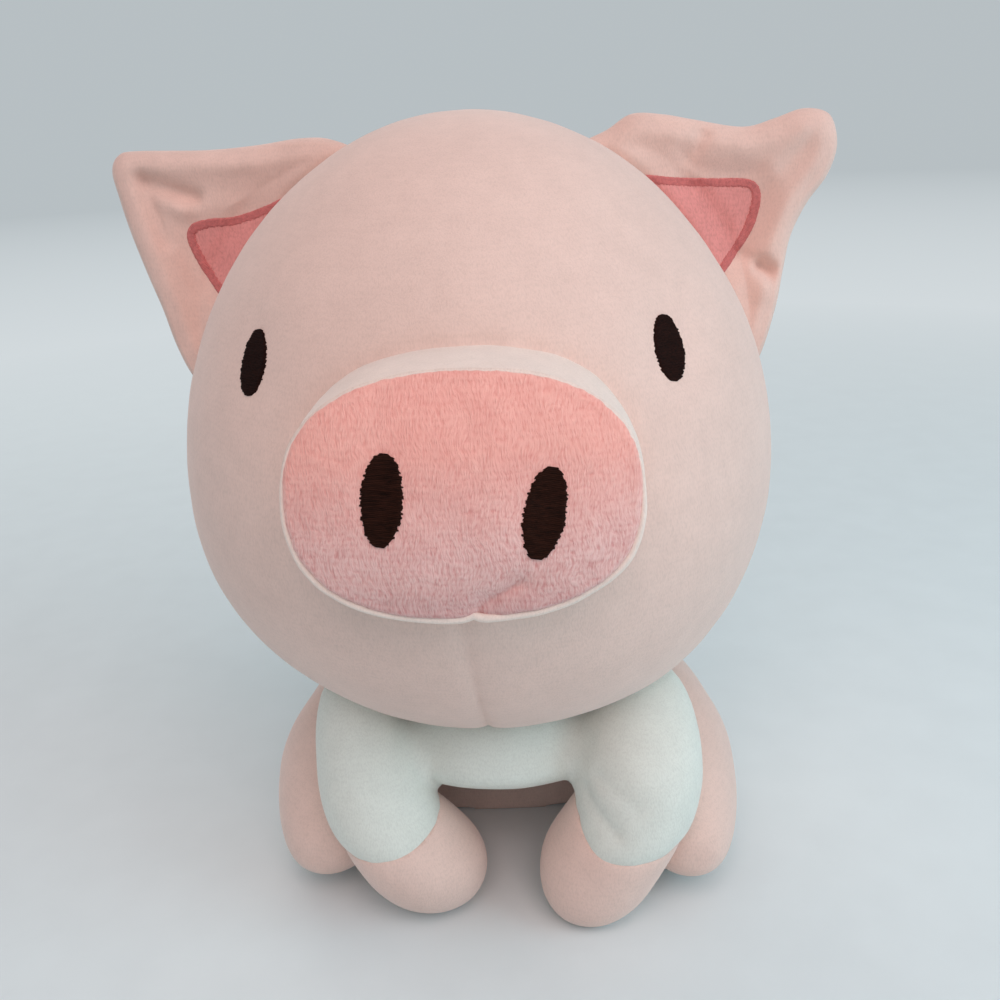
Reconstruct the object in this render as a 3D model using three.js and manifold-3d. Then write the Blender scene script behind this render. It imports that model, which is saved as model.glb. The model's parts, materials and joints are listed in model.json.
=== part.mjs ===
// A sitting plush pig with a big round head, a short shirt and four stuffed legs.
// Millimetres, +Z up. The pig faces -Y, and its own left side is at +X.
// Every cover is a bag of cloth with its real openings, and the fibre fill inside is a solid of its own.

import * as THREE from 'three';
import { mergeVertices } from 'three/addons/utils/BufferGeometryUtils.js';
import Module from 'manifold-3d';

const wasm = await Module();
wasm.setup();
const { Manifold, Mesh } = wasm;

// Cloth, seams and clearances
const clothThick = 1.6;
const seamGap = 0.3;
const fillGap = 0.4;
const foldGap = 0.5;
const floorCut = 0.5;
const overrun = 300;

// Head, in its own frame about the middle of the head
const headWidth = 190;
const headDepth = 186;
const headHeight = 199;
const headCentreHeight = 157;
const headTiltDeg = 9;
const cheekFullnessShare = 0.085;
const jowlPower = 2.25;
const earSeamBack = 10;

// Muzzle
const snoutWidth = 81;
const snoutHeight = 59;
const snoutDrop = 2.5;
const snoutReach = 109;
const snoutDome = 7.5;
const muzzleFlare = 7;
const muzzleRoot = 66;
const domePower = 2.6;

// Embroidery
const stitchThick = 0.9;
const eyeWidth = 10.5;
const eyeHeight = 17;
const eyeAcross = 54.5;
const eyeRise = 27;
const nostrilWidth = 9.6;
const nostrilHeight = 21;
const nostrilAcross = 18;
const nostrilDrop = 1;

// Ears, in the head's frame
const earTipAcross = 117;
const earTipRise = 90;
const earTopAcross = 38;
const earTopRise = 91;
const earLowAcross = 89;
const earLowRise = 9;
const earThick = 9;
const earCup = 7;
const earCornerPower = 6;
const earTopMargin = 17;
const earSideMargin = 13;
const earBaseMargin = 3;
const edgingWidth = 2.4;
const patchThick = 1.1;
const earFoldDeg = 15;

// Neck
const neckRadius = 30;
const neckHeight = 66;
const neckBack = 4;
const neckRoom = 7.5;
const neckGap = 0.9;

// Body
const bodyHeight = 80;
const bodyRumpWidth = 112;
const bodyChestWidth = 94;
const bellyForward = 20;
const chestForward = 54;
const rumpBack = 62;
const shouldersBack = 46;
const bodyPower = 2.5;
const hemBack = 14;
const hemHeight = 36;
const hemTiltDeg = 33;

// Front legs
const legTop = 70;
const shoulderAcross = 42;
const shoulderForward = 34;
const shoulderBack = 26;
const shoulderHeight = 55;
const elbowAcross = 44;
const elbowForward = 44;
const pawAcross = 26;
const pawForward = 54;
const upperLegRadius = 22;
const ankleRadius = 21.5;
const pawRadius = 24;
const legPower = 2.9;
const cuffHeight = 31;
const cuffLeanDeg = 28;
const legSwingDeg = 15;

// Hind legs
const hindBack = 44;
const hindForward = 54;
const thighAcross = 48;
const thighRadius = 31.5;
const footAcross = 62;
const footRadius = 20.5;
const hindPower = 2.8;
const hipBack = 24;
const hipAcross = 56;
const spreadDeg = 15;

// Tail
const tailRadius = 4;
const tailCurlRadius = 9;
const tailPitch = 12;
const tailTurns = 1.25;
const tailStem = 5;
const tailStemTurns = 0.25;
const tailOpeningTurns = 0.5;
const tailHeight = 34;
const tailSink = 8;
const tailSwingDeg = 20;

// How finely the round forms are divided
const headSides = 24;
const headRings = 14;
const bodySides = 20;
const bodyRings = 10;
const limbSides = 12;
const limbRings = 8;
const snoutSides = 24;
const ovalSides = 14;
const earSides = 22;
const earRings = 6;
const tailSides = 6;
const tailSteps = 28;
const sweepSteps = 2;

const degrees = THREE.MathUtils.degToRad;
const unmoved = new THREE.Matrix4();
const origin = new THREE.Vector3();
const axisX = new THREE.Vector3(1, 0, 0);
const axisY = new THREE.Vector3(0, 1, 0);
const axisZ = new THREE.Vector3(0, 0, 1);

// The same geometry with nothing but its places, and with its shared corners merged.
function welded(geometry) {
  const bare = geometry.clone();
  bare.deleteAttribute('normal');
  bare.deleteAttribute('uv');
  return mergeVertices(bare);
}

// A closed geometry becomes a solid that can be joined and cut.
function solidOf(geometry, matrix = unmoved) {
  const merged = welded(geometry).applyMatrix4(matrix);
  return new Manifold(new Mesh({
    numProp: 3,
    vertProperties: new Float32Array(merged.attributes.position.array),
    triVerts: new Uint32Array(merged.index.array),
  }));
}

// Turns a solid back into a geometry.
function geometryOf(solid) {
  const mesh = solid.getMesh();
  const geometry = new THREE.BufferGeometry();
  geometry.setAttribute('position', new THREE.BufferAttribute(mesh.vertProperties, mesh.numProp));
  geometry.setIndex(new THREE.BufferAttribute(mesh.triVerts, 1));
  geometry.computeVertexNormals();
  return geometry;
}

// A round ball whose every point is moved to its place on a stuffed form.
// Its rings lie flat round an upright axis, or stand round an axis that runs from front to back.
function stuffed(sides, rings, upright, place) {
  const ball = new THREE.SphereGeometry(1, sides, rings);
  if (upright) {
    ball.rotateX(Math.PI / 2);
  }
  const form = welded(ball);
  const points = form.attributes.position;
  const point = new THREE.Vector3();
  for (let i = 0; i < points.count; i += 1) {
    point.fromBufferAttribute(points, i);
    point.normalize();
    const moved = place(point);
    points.setXYZ(i, moved.x, moved.y, moved.z);
  }
  return form;
}

// The same geometry on the other side of the body.
function mirrored(geometry) {
  const copy = welded(geometry);
  copy.scale(-1, 1, 1);
  const order = copy.index;
  for (let i = 0; i < order.count; i += 3) {
    const first = order.getX(i);
    order.setX(i, order.getX(i + 1));
    order.setX(i + 1, first);
  }
  return copy;
}

// The half width of a ring of a ball whose poles are flattened by a power above 2.
function ringShare(height, power) {
  const left = Math.max(0, 1 - Math.abs(height) ** power);
  return left ** (1 / power);
}

// The direction of a point round the axis of its rings. On the axis any direction serves.
function around(a, b) {
  const reach = Math.hypot(a, b);
  return reach > 0 ? [a / reach, b / reach] : [1, 0];
}

// Everything on one side of a plane, as a big block: the side that the normal points to.
function sideOf(point, normal) {
  const block = new THREE.BoxGeometry(overrun * 2, overrun, overrun * 2);
  block.translate(0, overrun / 2, 0);
  const turn = new THREE.Quaternion().setFromUnitVectors(axisY, normal.clone().normalize());
  return solidOf(block, new THREE.Matrix4().compose(point, turn, new THREE.Vector3(1, 1, 1)));
}

// Splits a solid at a plane, and leaves a seam's gap between the two pieces.
function splitAt(solid, point, normal) {
  const shift = normal.clone().normalize().multiplyScalar(seamGap / 2);
  const behind = solid.subtract(sideOf(point.clone().sub(shift), normal));
  const ahead = solid.subtract(sideOf(point.clone().add(shift), normal.clone().negate()));
  return [ahead, behind];
}

function belowFloor() {
  return sideOf(origin, axisZ.clone().negate());
}

// A turn about a line through a point.
function turnAbout(point, axis, angle) {
  const matrix = new THREE.Matrix4().makeTranslation(point.x, point.y, point.z);
  matrix.multiply(new THREE.Matrix4().makeRotationAxis(axis, angle));
  return matrix.multiply(new THREE.Matrix4().makeTranslation(-point.x, -point.y, -point.z));
}

// Cuts a piece with every place that its neighbour takes up, seen from the piece, as the piece swings.
function clearedOf(piece, neighbour, point, axis, lowDeg, highDeg) {
  let cut = piece;
  for (let i = 0; i <= sweepSteps; i += 1) {
    const angle = degrees(THREE.MathUtils.lerp(lowDeg, highDeg, i / sweepSteps));
    cut = cut.subtract(solidOf(neighbour, turnAbout(point, axis, -angle)));
  }
  return cut;
}

// Head form: an egg that is fuller at the cheeks and flatter under the chin.
function headForm(inset) {
  return stuffed(headSides, headRings, true, (n) => {
    const [across, back] = around(n.x, n.y);
    const ring = ringShare(n.z, n.z < 0 ? jowlPower : 2) * (1 - cheekFullnessShare * n.z);
    return new THREE.Vector3(
      across * ring * (headWidth / 2 - inset),
      back * ring * (headDepth / 2 - inset),
      n.z * (headHeight / 2 - inset),
    );
  });
}

const headPose = new THREE.Matrix4().makeTranslation(0, 0, headCentreHeight);
headPose.multiply(new THREE.Matrix4().makeRotationX(-degrees(headTiltDeg)));
const intoHead = headPose.clone().invert();

// Body form: a pear with its seat on the floor, and a chest that juts out over the belly.
function bodyForm(inset) {
  return stuffed(bodySides, bodyRings, true, (n) => {
    const [across, back] = around(n.x, n.y);
    const ring = ringShare(n.z, bodyPower);
    const rise = (n.z + 1) / 2;
    const halfWidth = THREE.MathUtils.lerp(bodyRumpWidth, bodyChestWidth, rise) / 2 - inset;
    const front = THREE.MathUtils.lerp(bellyForward, chestForward, 1 - (1 - rise) ** 2);
    const halfDepth = (back < 0 ? front : THREE.MathUtils.lerp(rumpBack, shouldersBack, rise)) - inset;
    const halfHeight = (bodyHeight + floorCut) / 2;
    return new THREE.Vector3(
      across * ring * halfWidth,
      back * ring * halfDepth,
      halfHeight - floorCut + n.z * (halfHeight - inset),
    );
  });
}

// A leg: a ball drawn out along a spine, with a round girth of its own at every station.
// Its rings lie flat in a standing leg. A leg that lies along the floor has upright rings that touch it.
function legForm(spine, girths, power, inset, standing) {
  const line = new THREE.CatmullRomCurve3(spine);
  const girth = new THREE.SplineCurve(girths.map((radius, i) => new THREE.Vector2(i, radius)));
  return stuffed(limbSides, limbRings, standing, (n) => {
    const along = standing ? n.z : -n.y;
    const [a, b] = standing ? around(n.x, n.y) : around(n.x, n.z);
    const share = (1 + along) / 2;
    const radius = girth.getPoint(share).y;
    const ring = ringShare(along, power) * (radius - inset);
    const middle = line.getPoint(share);
    if (standing) {
      return middle.add(new THREE.Vector3(a * ring, b * ring, -along * inset));
    }
    return middle.add(new THREE.Vector3(a * ring, along * inset, radius - floorCut + b * ring));
  });
}

const frontLegSpine = [
  new THREE.Vector3(pawAcross, -pawForward, -floorCut),
  new THREE.Vector3((pawAcross + elbowAcross) / 2, -(pawForward + elbowForward) / 2, cuffHeight),
  new THREE.Vector3(elbowAcross, -elbowForward, (cuffHeight + legTop) / 2),
  new THREE.Vector3(shoulderAcross, -shoulderForward, legTop),
];
const frontLegGirths = [pawRadius, ankleRadius, upperLegRadius, upperLegRadius];

function frontLegForm(inset) {
  return legForm(frontLegSpine, frontLegGirths, legPower, inset, true);
}

const hindLegSpine = [
  new THREE.Vector3(thighAcross, hindBack, 0),
  new THREE.Vector3(thighAcross, hindBack - thighRadius, 0),
  new THREE.Vector3((thighAcross + footAcross) / 2, -footRadius / 2, 0),
  new THREE.Vector3(footAcross, -hindForward, 0),
];
const hindLegGirths = [thighRadius, thighRadius, thighRadius - (thighRadius - footRadius) / 3, footRadius];

function hindLegForm(inset) {
  return legForm(hindLegSpine, hindLegGirths, hindPower, inset, false);
}

// The snout's front, from its middle to its edge, in shares of its half width and half height.
function domeProfile(inset) {
  const rimShares = [0, 0.3, 0.55, 0.75, 0.9, 1];
  return rimShares.map((share) => new THREE.Vector2(
    share,
    snoutReach - inset + snoutDome * (1 - share ** domePower),
  ));
}

// An oval lathe form that points forward out of the face.
function snoutForm(profile, growth) {
  const form = new THREE.LatheGeometry(profile, snoutSides);
  form.scale(snoutWidth / 2 + growth, 1, snoutHeight / 2 + growth);
  form.rotateZ(Math.PI);
  form.translate(0, 0, -snoutDrop);
  return form;
}

// A plug with the muzzle's outline, from inside the head to a front of any profile.
function muzzlePlug(growth, front) {
  const flareShare = (muzzleFlare * 2) / snoutHeight;
  const back = [new THREE.Vector2(0, muzzleRoot), new THREE.Vector2(1 + flareShare, muzzleRoot)];
  return snoutForm([...back, ...front], growth);
}

// A slim oval column that points out of the head along a direction, for cutting an embroidered oval.
function ovalColumn(place, direction, width, height) {
  const column = new THREE.CylinderGeometry(1, 1, overrun, ovalSides);
  column.scale(width / 2, 1, height / 2);
  column.translate(0, overrun / 2, 0);
  const turn = new THREE.Matrix4();
  const side = new THREE.Vector3().crossVectors(direction, axisZ).normalize();
  const top = new THREE.Vector3().crossVectors(side, direction).normalize();
  turn.makeBasis(side, direction, top);
  turn.setPosition(place);
  return solidOf(column, turn);
}

// Colours
const palePink = new THREE.MeshStandardMaterial({ color: 0xe8c0b6, roughness: 0.95, metalness: 0 });
const coral = new THREE.MeshStandardMaterial({ color: 0xe79a98, roughness: 0.95, metalness: 0 });
const rose = new THREE.MeshStandardMaterial({ color: 0xdc7f86, roughness: 0.9, metalness: 0 });
const roseThread = new THREE.MeshStandardMaterial({ color: 0xcb5f6b, roughness: 0.6, metalness: 0 });
const mint = new THREE.MeshStandardMaterial({ color: 0xdce8e2, roughness: 0.95, metalness: 0 });
const brownThread = new THREE.MeshStandardMaterial({ color: 0x3a2320, roughness: 0.6, metalness: 0 });
const blackThread = new THREE.MeshStandardMaterial({ color: 0x1d1616, roughness: 0.6, metalness: 0 });
const fibre = new THREE.MeshStandardMaterial({ color: 0xf4f2ee, roughness: 1, metalness: 0 });

const pig = new THREE.Group();
const headGroup = new THREE.Group();
headGroup.applyMatrix4(headPose);
pig.add(headGroup);

function addPiece(group, name, solid, material) {
  const mesh = new THREE.Mesh(geometryOf(solid), material.clone());
  mesh.name = name;
  group.add(mesh);
}

const neckPoint = new THREE.Vector3(0, neckBack, neckHeight);

// What the head passes through as it nods and turns, and a lining's thickness more
function headSpace(lining) {
  return headForm(-neckRoom - lining).applyMatrix4(headPose);
}

function neckBall(growth) {
  const ball = new THREE.SphereGeometry(neckRadius + growth, bodySides, bodyRings);
  ball.rotateX(Math.PI / 2);
  ball.translate(neckPoint.x, neckPoint.y, neckPoint.z);
  return ball;
}

// Head covers and fill
function buildHead() {
  const neckHole = solidOf(neckBall(neckGap), intoHead);
  const cover = solidOf(headForm(0)).subtract(solidOf(headForm(clothThick))).subtract(neckHole);
  const [back, face] = splitAt(cover, new THREE.Vector3(0, earSeamBack, 0), axisY);
  const [backLeft, backRight] = splitAt(back, origin, axisX);
  const muzzleHole = solidOf(muzzlePlug(-clothThick, domeProfile(0).reverse()));
  addPiece(headGroup, 'head_face_panel', face.subtract(muzzleHole), palePink);
  addPiece(headGroup, 'head_back_left', backLeft, palePink);
  addPiece(headGroup, 'head_back_right', backRight, palePink);

  const fill = solidOf(headForm(clothThick + fillGap));
  const muzzleFill = solidOf(muzzlePlug(-clothThick - fillGap, domeProfile(clothThick + fillGap).reverse()));
  addPiece(headGroup, 'head_stuffing', fill.add(muzzleFill).subtract(neckHole), fibre);
}

// Muzzle band, snout and nostrils
function buildMuzzle() {
  const rim = snoutReach - clothThick - seamGap;
  const flat = [new THREE.Vector2(1, rim), new THREE.Vector2(0, rim)];
  const open = [new THREE.Vector2(1, snoutReach), new THREE.Vector2(0, snoutReach)];
  const tube = solidOf(muzzlePlug(0, flat)).subtract(solidOf(muzzlePlug(-clothThick, open)));
  addPiece(headGroup, 'muzzle_band', tube.subtract(solidOf(headForm(-seamGap))), palePink);

  const disc = snoutForm([...domeProfile(clothThick), ...domeProfile(0).reverse()], 0);
  addPiece(headGroup, 'snout_disc', solidOf(disc), coral);

  const thread = snoutForm([...domeProfile(-seamGap), ...domeProfile(-seamGap - stitchThick).reverse()], 0);
  for (const [name, side] of [['nostril_left', 1], ['nostril_right', -1]]) {
    const place = new THREE.Vector3(side * nostrilAcross, 0, -snoutDrop - nostrilDrop);
    const column = ovalColumn(place, axisY.clone().negate(), nostrilWidth, nostrilHeight);
    addPiece(headGroup, name, solidOf(thread).intersect(column), brownThread);
  }
}

function buildEyes() {
  const thread = solidOf(headForm(-seamGap - stitchThick)).subtract(solidOf(headForm(-seamGap)));
  const acrossShare = (eyeAcross * 2) / headWidth;
  const riseShare = (eyeRise * 2) / headHeight;
  const forward = Math.sqrt(1 - acrossShare ** 2 - riseShare ** 2) * (headDepth / 2);
  for (const [name, side] of [['eye_left', 1], ['eye_right', -1]]) {
    const direction = new THREE.Vector3(side * eyeAcross, -forward, 0).normalize();
    const place = new THREE.Vector3(0, 0, eyeRise);
    const column = ovalColumn(place, direction, eyeWidth, eyeHeight);
    addPiece(headGroup, name, thread.intersect(column), blackThread);
  }
}

// The ear's outline: three straight sides with round corners, about the middle of the ear.
// The margins draw in its top edge, its base and its outer edge.
function earOutline(margins) {
  const corners = [
    new THREE.Vector2(earTipAcross, earTipRise),
    new THREE.Vector2(earTopAcross, earTopRise),
    new THREE.Vector2(earLowAcross, earLowRise),
  ];
  const middle = new THREE.Vector2();
  corners.forEach((corner) => middle.add(corner));
  middle.divideScalar(corners.length);
  const sides = corners.map((corner, i) => {
    const run = corners[(i + 1) % corners.length].clone().sub(corner).normalize();
    const normal = new THREE.Vector2(run.y, -run.x);
    return { normal, distance: corner.clone().sub(middle).dot(normal) - margins[i] };
  });
  return { middle, sides };
}

// How far an outline lies from the ear's middle in one direction.
function earReach(sides, heading) {
  let sum = 0;
  for (const side of sides) {
    sum += Math.max(0, heading.dot(side.normal) / side.distance) ** earCornerPower;
  }
  return sum ** (-1 / earCornerPower);
}

// A layer of the ear between two surfaces that follow its cupped middle sheet.
// front and back give each surface's distance ahead of that sheet, at a share of the ear's reach.
// The ball's front half becomes the front surface, its back half the back one, and its rim lies between.
function earLayer(front, back) {
  const { middle, sides } = earOutline([0, 0, 0]);
  return stuffed(earSides, earRings, false, (n) => {
    const [across, rise] = around(n.x, n.z);
    const share = Math.hypot(n.x, n.z);
    const reach = share * earReach(sides, new THREE.Vector2(across, rise));
    const bow = earCup * (reach / (earTipAcross - earTopAcross)) ** 2;
    const half = Math.sign(Math.round(n.y * earSides));
    const ahead = THREE.MathUtils.lerp(front(share), back(share), (1 + half) / 2);
    return new THREE.Vector3(middle.x + across * reach, earSeamBack - bow - ahead, middle.y + rise * reach);
  });
}

// A column through the ear with its outline drawn in by the margins.
function earColumn(margins) {
  const { middle, sides } = earOutline(margins);
  const points = [];
  for (let i = 0; i < earSides; i += 1) {
    const angle = (i / earSides) * 2 * Math.PI;
    const heading = new THREE.Vector2(Math.cos(angle), Math.sin(angle));
    points.push(heading.clone().multiplyScalar(earReach(sides, heading)).add(middle));
  }
  const column = new THREE.ExtrudeGeometry(new THREE.Shape(points), { depth: overrun, bevelEnabled: false });
  column.translate(0, 0, -overrun / 2);
  column.rotateX(Math.PI / 2);
  return column;
}

// Ears: two faces of plush, a patch on the front face, and its stitched edging
function buildEars() {
  const loft = (share) => (earThick / 2) * Math.sqrt(1 - Math.min(1, share) ** 2) + seamGap / 2;
  const sheet = () => seamGap / 2;
  const lining = (share) => loft(share) + seamGap;
  const faceLayer = (thick) => earLayer((share) => lining(share) + thick, lining);
  const margins = [earTopMargin, earBaseMargin, earSideMargin];
  const layers = {
    front: earLayer(loft, sheet),
    back: earLayer((share) => -sheet(share), (share) => -loft(share)),
    patch: faceLayer(patchThick),
    edging: faceLayer(patchThick + seamGap),
    patchColumn: earColumn(margins),
    openingColumn: earColumn(margins.map((margin) => margin - seamGap)),
    edgingColumn: earColumn(margins.map((margin) => margin - edgingWidth)),
  };
  const neighbour = headForm(-foldGap);
  for (const [side, sign] of [['left', 1], ['right', -1]]) {
    const low = new THREE.Vector3(sign * earLowAcross, earSeamBack, earLowRise);
    const top = new THREE.Vector3(sign * earTopAcross, earSeamBack, earTopRise);
    const hinge = top.clone().sub(low).normalize();
    const pick = (name) => solidOf(sign > 0 ? layers[name] : mirrored(layers[name]));
    const add = (name, solid, colour) => {
      const clear = clearedOf(solid, neighbour, low, hinge, -earFoldDeg, earFoldDeg);
      addPiece(headGroup, `ear_${name}_${side}`, clear, colour);
    };
    add('front', pick('front'), palePink);
    add('back', pick('back'), palePink);
    add('patch', pick('patch').intersect(pick('patchColumn')), rose);
    const ring = pick('edgingColumn').subtract(pick('openingColumn'));
    add('edging', pick('edging').intersect(ring), roseThread);
  }
}

// Body covers and fill
function buildBody() {
  const ball = solidOf(neckBall(neckGap));
  const bag = (inset) => solidOf(bodyForm(inset)).subtract(solidOf(headSpace(inset)));
  const cover = bag(0).subtract(bag(clothThick)).subtract(belowFloor()).subtract(ball);
  const hemPoint = new THREE.Vector3(0, hemBack, hemHeight);
  const hemNormal = new THREE.Vector3(0, -Math.sin(degrees(hemTiltDeg)), Math.cos(degrees(hemTiltDeg)));
  const [shirt, rump] = splitAt(cover, hemPoint, hemNormal);
  addPiece(pig, 'shirt_body', shirt, mint);
  addPiece(pig, 'rump_cover', rump, palePink);
  addPiece(pig, 'body_stuffing', bag(clothThick + fillGap).subtract(ball), fibre);
  addPiece(pig, 'neck_stuffing', solidOf(neckBall(0)), fibre);
}

// Front legs: a shirt sleeve and a paw sewn together at the cuff
function buildFrontLegs() {
  const body = bodyForm(-foldGap);
  const head = headSpace(0);
  const ankle = new THREE.CatmullRomCurve3(frontLegSpine).getPoint(cuffHeight / legTop);
  for (const [side, sign] of [['left', 1], ['right', -1]]) {
    const turned = (geometry) => solidOf(sign > 0 ? geometry : mirrored(geometry));
    const shoulder = new THREE.Vector3(sign * shoulderAcross, -shoulderBack, shoulderHeight);
    const cleared = (solid) => [body, head].reduce(
      (rest, neighbour) => clearedOf(rest, neighbour, shoulder, axisX, -legSwingDeg, 0),
      solid.subtract(belowFloor()),
    );
    const cover = cleared(turned(frontLegForm(0)).subtract(turned(frontLegForm(clothThick))));
    const cuffPoint = new THREE.Vector3(sign * ankle.x, ankle.y, cuffHeight);
    const lean = degrees(cuffLeanDeg);
    const cuffNormal = new THREE.Vector3(sign * Math.sin(lean), 0, Math.cos(lean));
    const [sleeve, paw] = splitAt(cover, cuffPoint, cuffNormal);
    addPiece(pig, `sleeve_${side}`, sleeve, mint);
    addPiece(pig, `paw_${side}`, paw, palePink);
    addPiece(pig, `front_leg_stuffing_${side}`, cleared(turned(frontLegForm(clothThick + fillGap))), fibre);
  }
}

// Hind legs: a thigh and a foot in one cover
function buildHindLegs() {
  const body = bodyForm(-foldGap);
  for (const [side, sign] of [['left', 1], ['right', -1]]) {
    const turned = (geometry) => solidOf(sign > 0 ? geometry : mirrored(geometry));
    const hip = new THREE.Vector3(sign * hipAcross, hipBack, 0);
    const frontLeg = turned(frontLegForm(-foldGap));
    const low = sign > 0 ? 0 : -spreadDeg;
    const cleared = (solid) => clearedOf(
      solid.subtract(belowFloor()).subtract(frontLeg), body, hip, axisZ, low, low + spreadDeg,
    );
    const cover = cleared(turned(hindLegForm(0)).subtract(turned(hindLegForm(clothThick))));
    addPiece(pig, `hind_leg_cover_${side}`, cover, palePink);
    addPiece(pig, `hind_leg_stuffing_${side}`, cleared(turned(hindLegForm(clothThick + fillGap))), fibre);
  }
}

// The tail's middle line: out of the seat, then round in a curl
const tailRoot = rumpBack - tailSink;
class TailLine extends THREE.Curve {
  getPoint(share) {
    const turns = share * tailTurns;
    const angle = turns * 2 * Math.PI;
    const reach = tailCurlRadius * Math.min(1, turns / tailOpeningTurns);
    const out = tailStem * Math.min(1, turns / tailStemTurns) + tailPitch * turns;
    return new THREE.Vector3(Math.sin(angle) * reach, tailRoot + out, tailHeight + Math.cos(angle) * reach);
  }
}

function buildTail() {
  const section = new THREE.Shape().absarc(0, 0, tailRadius, 0, 2 * Math.PI);
  const tube = new THREE.ExtrudeGeometry(section, {
    steps: tailSteps, curveSegments: tailSides / 2, bevelEnabled: false, extrudePath: new TailLine(),
  });
  const root = new THREE.Vector3(0, tailRoot, tailHeight);
  const clear = clearedOf(solidOf(tube), bodyForm(-foldGap), root, axisZ, -tailSwingDeg, tailSwingDeg);
  addPiece(pig, 'tail', clear, palePink);
}

buildHead();
buildMuzzle();
buildEyes();
buildEars();
buildBody();
buildFrontLegs();
buildHindLegs();
buildTail();

// The origin is on the floor, under the middle of the whole toy.
pig.updateMatrixWorld(true);
const extent = new THREE.Box3().setFromObject(pig, true);
pig.position.y = -(extent.min.y + extent.max.y) / 2;

export default pig;
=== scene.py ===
"""Plush pig: short velvety covers, sewn seams, satin stitching, and a small studio to see it in."""
import json
import math
import random
from collections import namedtuple

import bmesh
import bpy
from bpy.props import FloatProperty, FloatVectorProperty, PointerProperty
from mathutils import Matrix, Vector, noise
from mathutils.bvhtree import BVHTree


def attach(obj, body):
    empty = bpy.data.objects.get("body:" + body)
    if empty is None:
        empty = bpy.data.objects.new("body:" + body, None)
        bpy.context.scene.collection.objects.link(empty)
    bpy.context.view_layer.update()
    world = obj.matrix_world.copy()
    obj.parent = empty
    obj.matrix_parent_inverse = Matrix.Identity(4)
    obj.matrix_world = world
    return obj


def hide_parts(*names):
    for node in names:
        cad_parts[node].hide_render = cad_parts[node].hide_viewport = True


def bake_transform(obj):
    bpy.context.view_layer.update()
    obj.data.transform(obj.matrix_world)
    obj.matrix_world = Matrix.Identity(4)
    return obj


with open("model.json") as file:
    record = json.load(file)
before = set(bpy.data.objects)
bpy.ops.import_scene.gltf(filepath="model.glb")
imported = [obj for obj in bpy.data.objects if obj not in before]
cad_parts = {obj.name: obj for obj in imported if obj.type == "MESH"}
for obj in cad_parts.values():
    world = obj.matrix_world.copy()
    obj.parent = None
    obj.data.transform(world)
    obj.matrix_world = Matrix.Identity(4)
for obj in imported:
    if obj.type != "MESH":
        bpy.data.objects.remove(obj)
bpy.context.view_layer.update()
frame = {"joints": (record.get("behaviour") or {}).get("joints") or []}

bl_info = {
    "name": "Plush pig",
    "version": (1, 0, 0),
    "blender": (4, 5, 0),
    "location": "View3D > Sidebar > Plush pig",
    "description": "Makes the covers, stitching and studio of a sitting plush pig",
    "category": "Object",
}

MM = 0.001
SIDES = (("left", 1), ("right", -1))
FULL_TURN = 2 * math.pi


def mm(*lengths):
    """Lengths in millimetres as a vector in metres."""
    return Vector(length * MM for length in lengths)


def mm_list(*points):
    return [mm(*point) for point in points]


# Head
HEAD_CENTRE = 157 * MM
HEAD_TILT = math.radians(9)
CHEEK_FULLNESS = 0.085
CROWN_POWER = 2
JOWL_POWER = 2.07
JAW_LEAN = 2.6 * MM
JAW_START_SHARE = 0.35
EAR_SEAM = 10 * MM
CHIN_SEAM_TOP = -34 * MM
CHIN_SEAM_BOTTOM = 2.4 * CHIN_SEAM_TOP
CHIN_SEAM_LEAN = 3.8 * MM
CHIN_SEAM_FADE = 6 * MM
CHIN_SEAM_DEPTH = 1.2 * MM
FACE_UNDER_BAND = 4.5 * MM
EYE_DIMPLE = 1.3 * MM
EYE_DIMPLE_REACH = 0.8

# Covers that reach into their neighbour end where they are this share of its girth from its middle
HEAD_SEAT = 0.86
BODY_SEAT = 0.86

# Cloth: its lumps, as (height, size), the pucker of a seam, and how far inside the cover the fill lies
SOFT_LUMPS = [(0.5 * MM, 35 * MM), (0.12 * MM, 9 * MM)]
PUCKER_PITCH = 5 * MM
PUCKER_SHARE = 0.35
FILL_GAP = 1.5 * MM
BODY_FILL_GAP = 2 * MM

# Muzzle
SNOUT_DROP = 2.5 * MM
SNOUT_POWER = 2.4
SNOUT_DOME = 7.5 * MM
DOME_POWER = 2.6
SNOUT_ROLL = 2.4 * MM
SNOUT_ROLL_TURN = math.radians(125)
SNOUT_FLAT_SHARE = 0.88
# Heights over which the snout's painted shade below fades to its middle colour, and that to its painted warm
# top
SNOUT_SHADE_FADES = mm(128, 152), mm(160, 184)
SNOUT_LUMPS = [(0.35 * MM, 14 * MM, 5), (0.15 * MM, 4 * MM, 6)]
SNOUT_EDGE_LUMPS = [(0.3 * MM, 7 * MM, 1), (0.25 * MM, 1.6 * MM, 2)]
SNOUT_CREASES = [
    (mm_list((5.5, 0, -24.5), (12.5, 0, -20.5)), 2.6 * MM, 2.2 * MM),
    (mm_list((0.3, 0, -30), (3, 0, -26)), 1.8 * MM, 2 * MM),
]
NOSTRIL_DIMPLE = 1.1 * MM
NOSTRIL_DIMPLE_REACH = 1.15
BAND_LIP = 1.1 * MM
BAND_LIP_SHARE = 0.4
BAND_LIP_THINNING = 0.65
BAND_LIP_SINK = 0.6 * MM
BAND_LIP_BACK = 1.2 * MM
BAND_LIP_START = math.radians(-100)
BAND_LIP_TURN = math.radians(190)
BAND_FLARE = mm(1.6, 4.6)
BAND_SPREAD = 1.2
BAND_BULGE = 0.7 * MM
BAND_SINK = 2.5 * MM
BAND_LUMPS = [(0.3 * MM, 12 * MM, 4), (0.12 * MM, 4 * MM, 4)]
BAND_PUCKER = 1.1 * MM
BAND_PUCKER_PLACE = 1 * MM
BAND_PUCKER_WIDTH = 1.5 * MM

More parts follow.
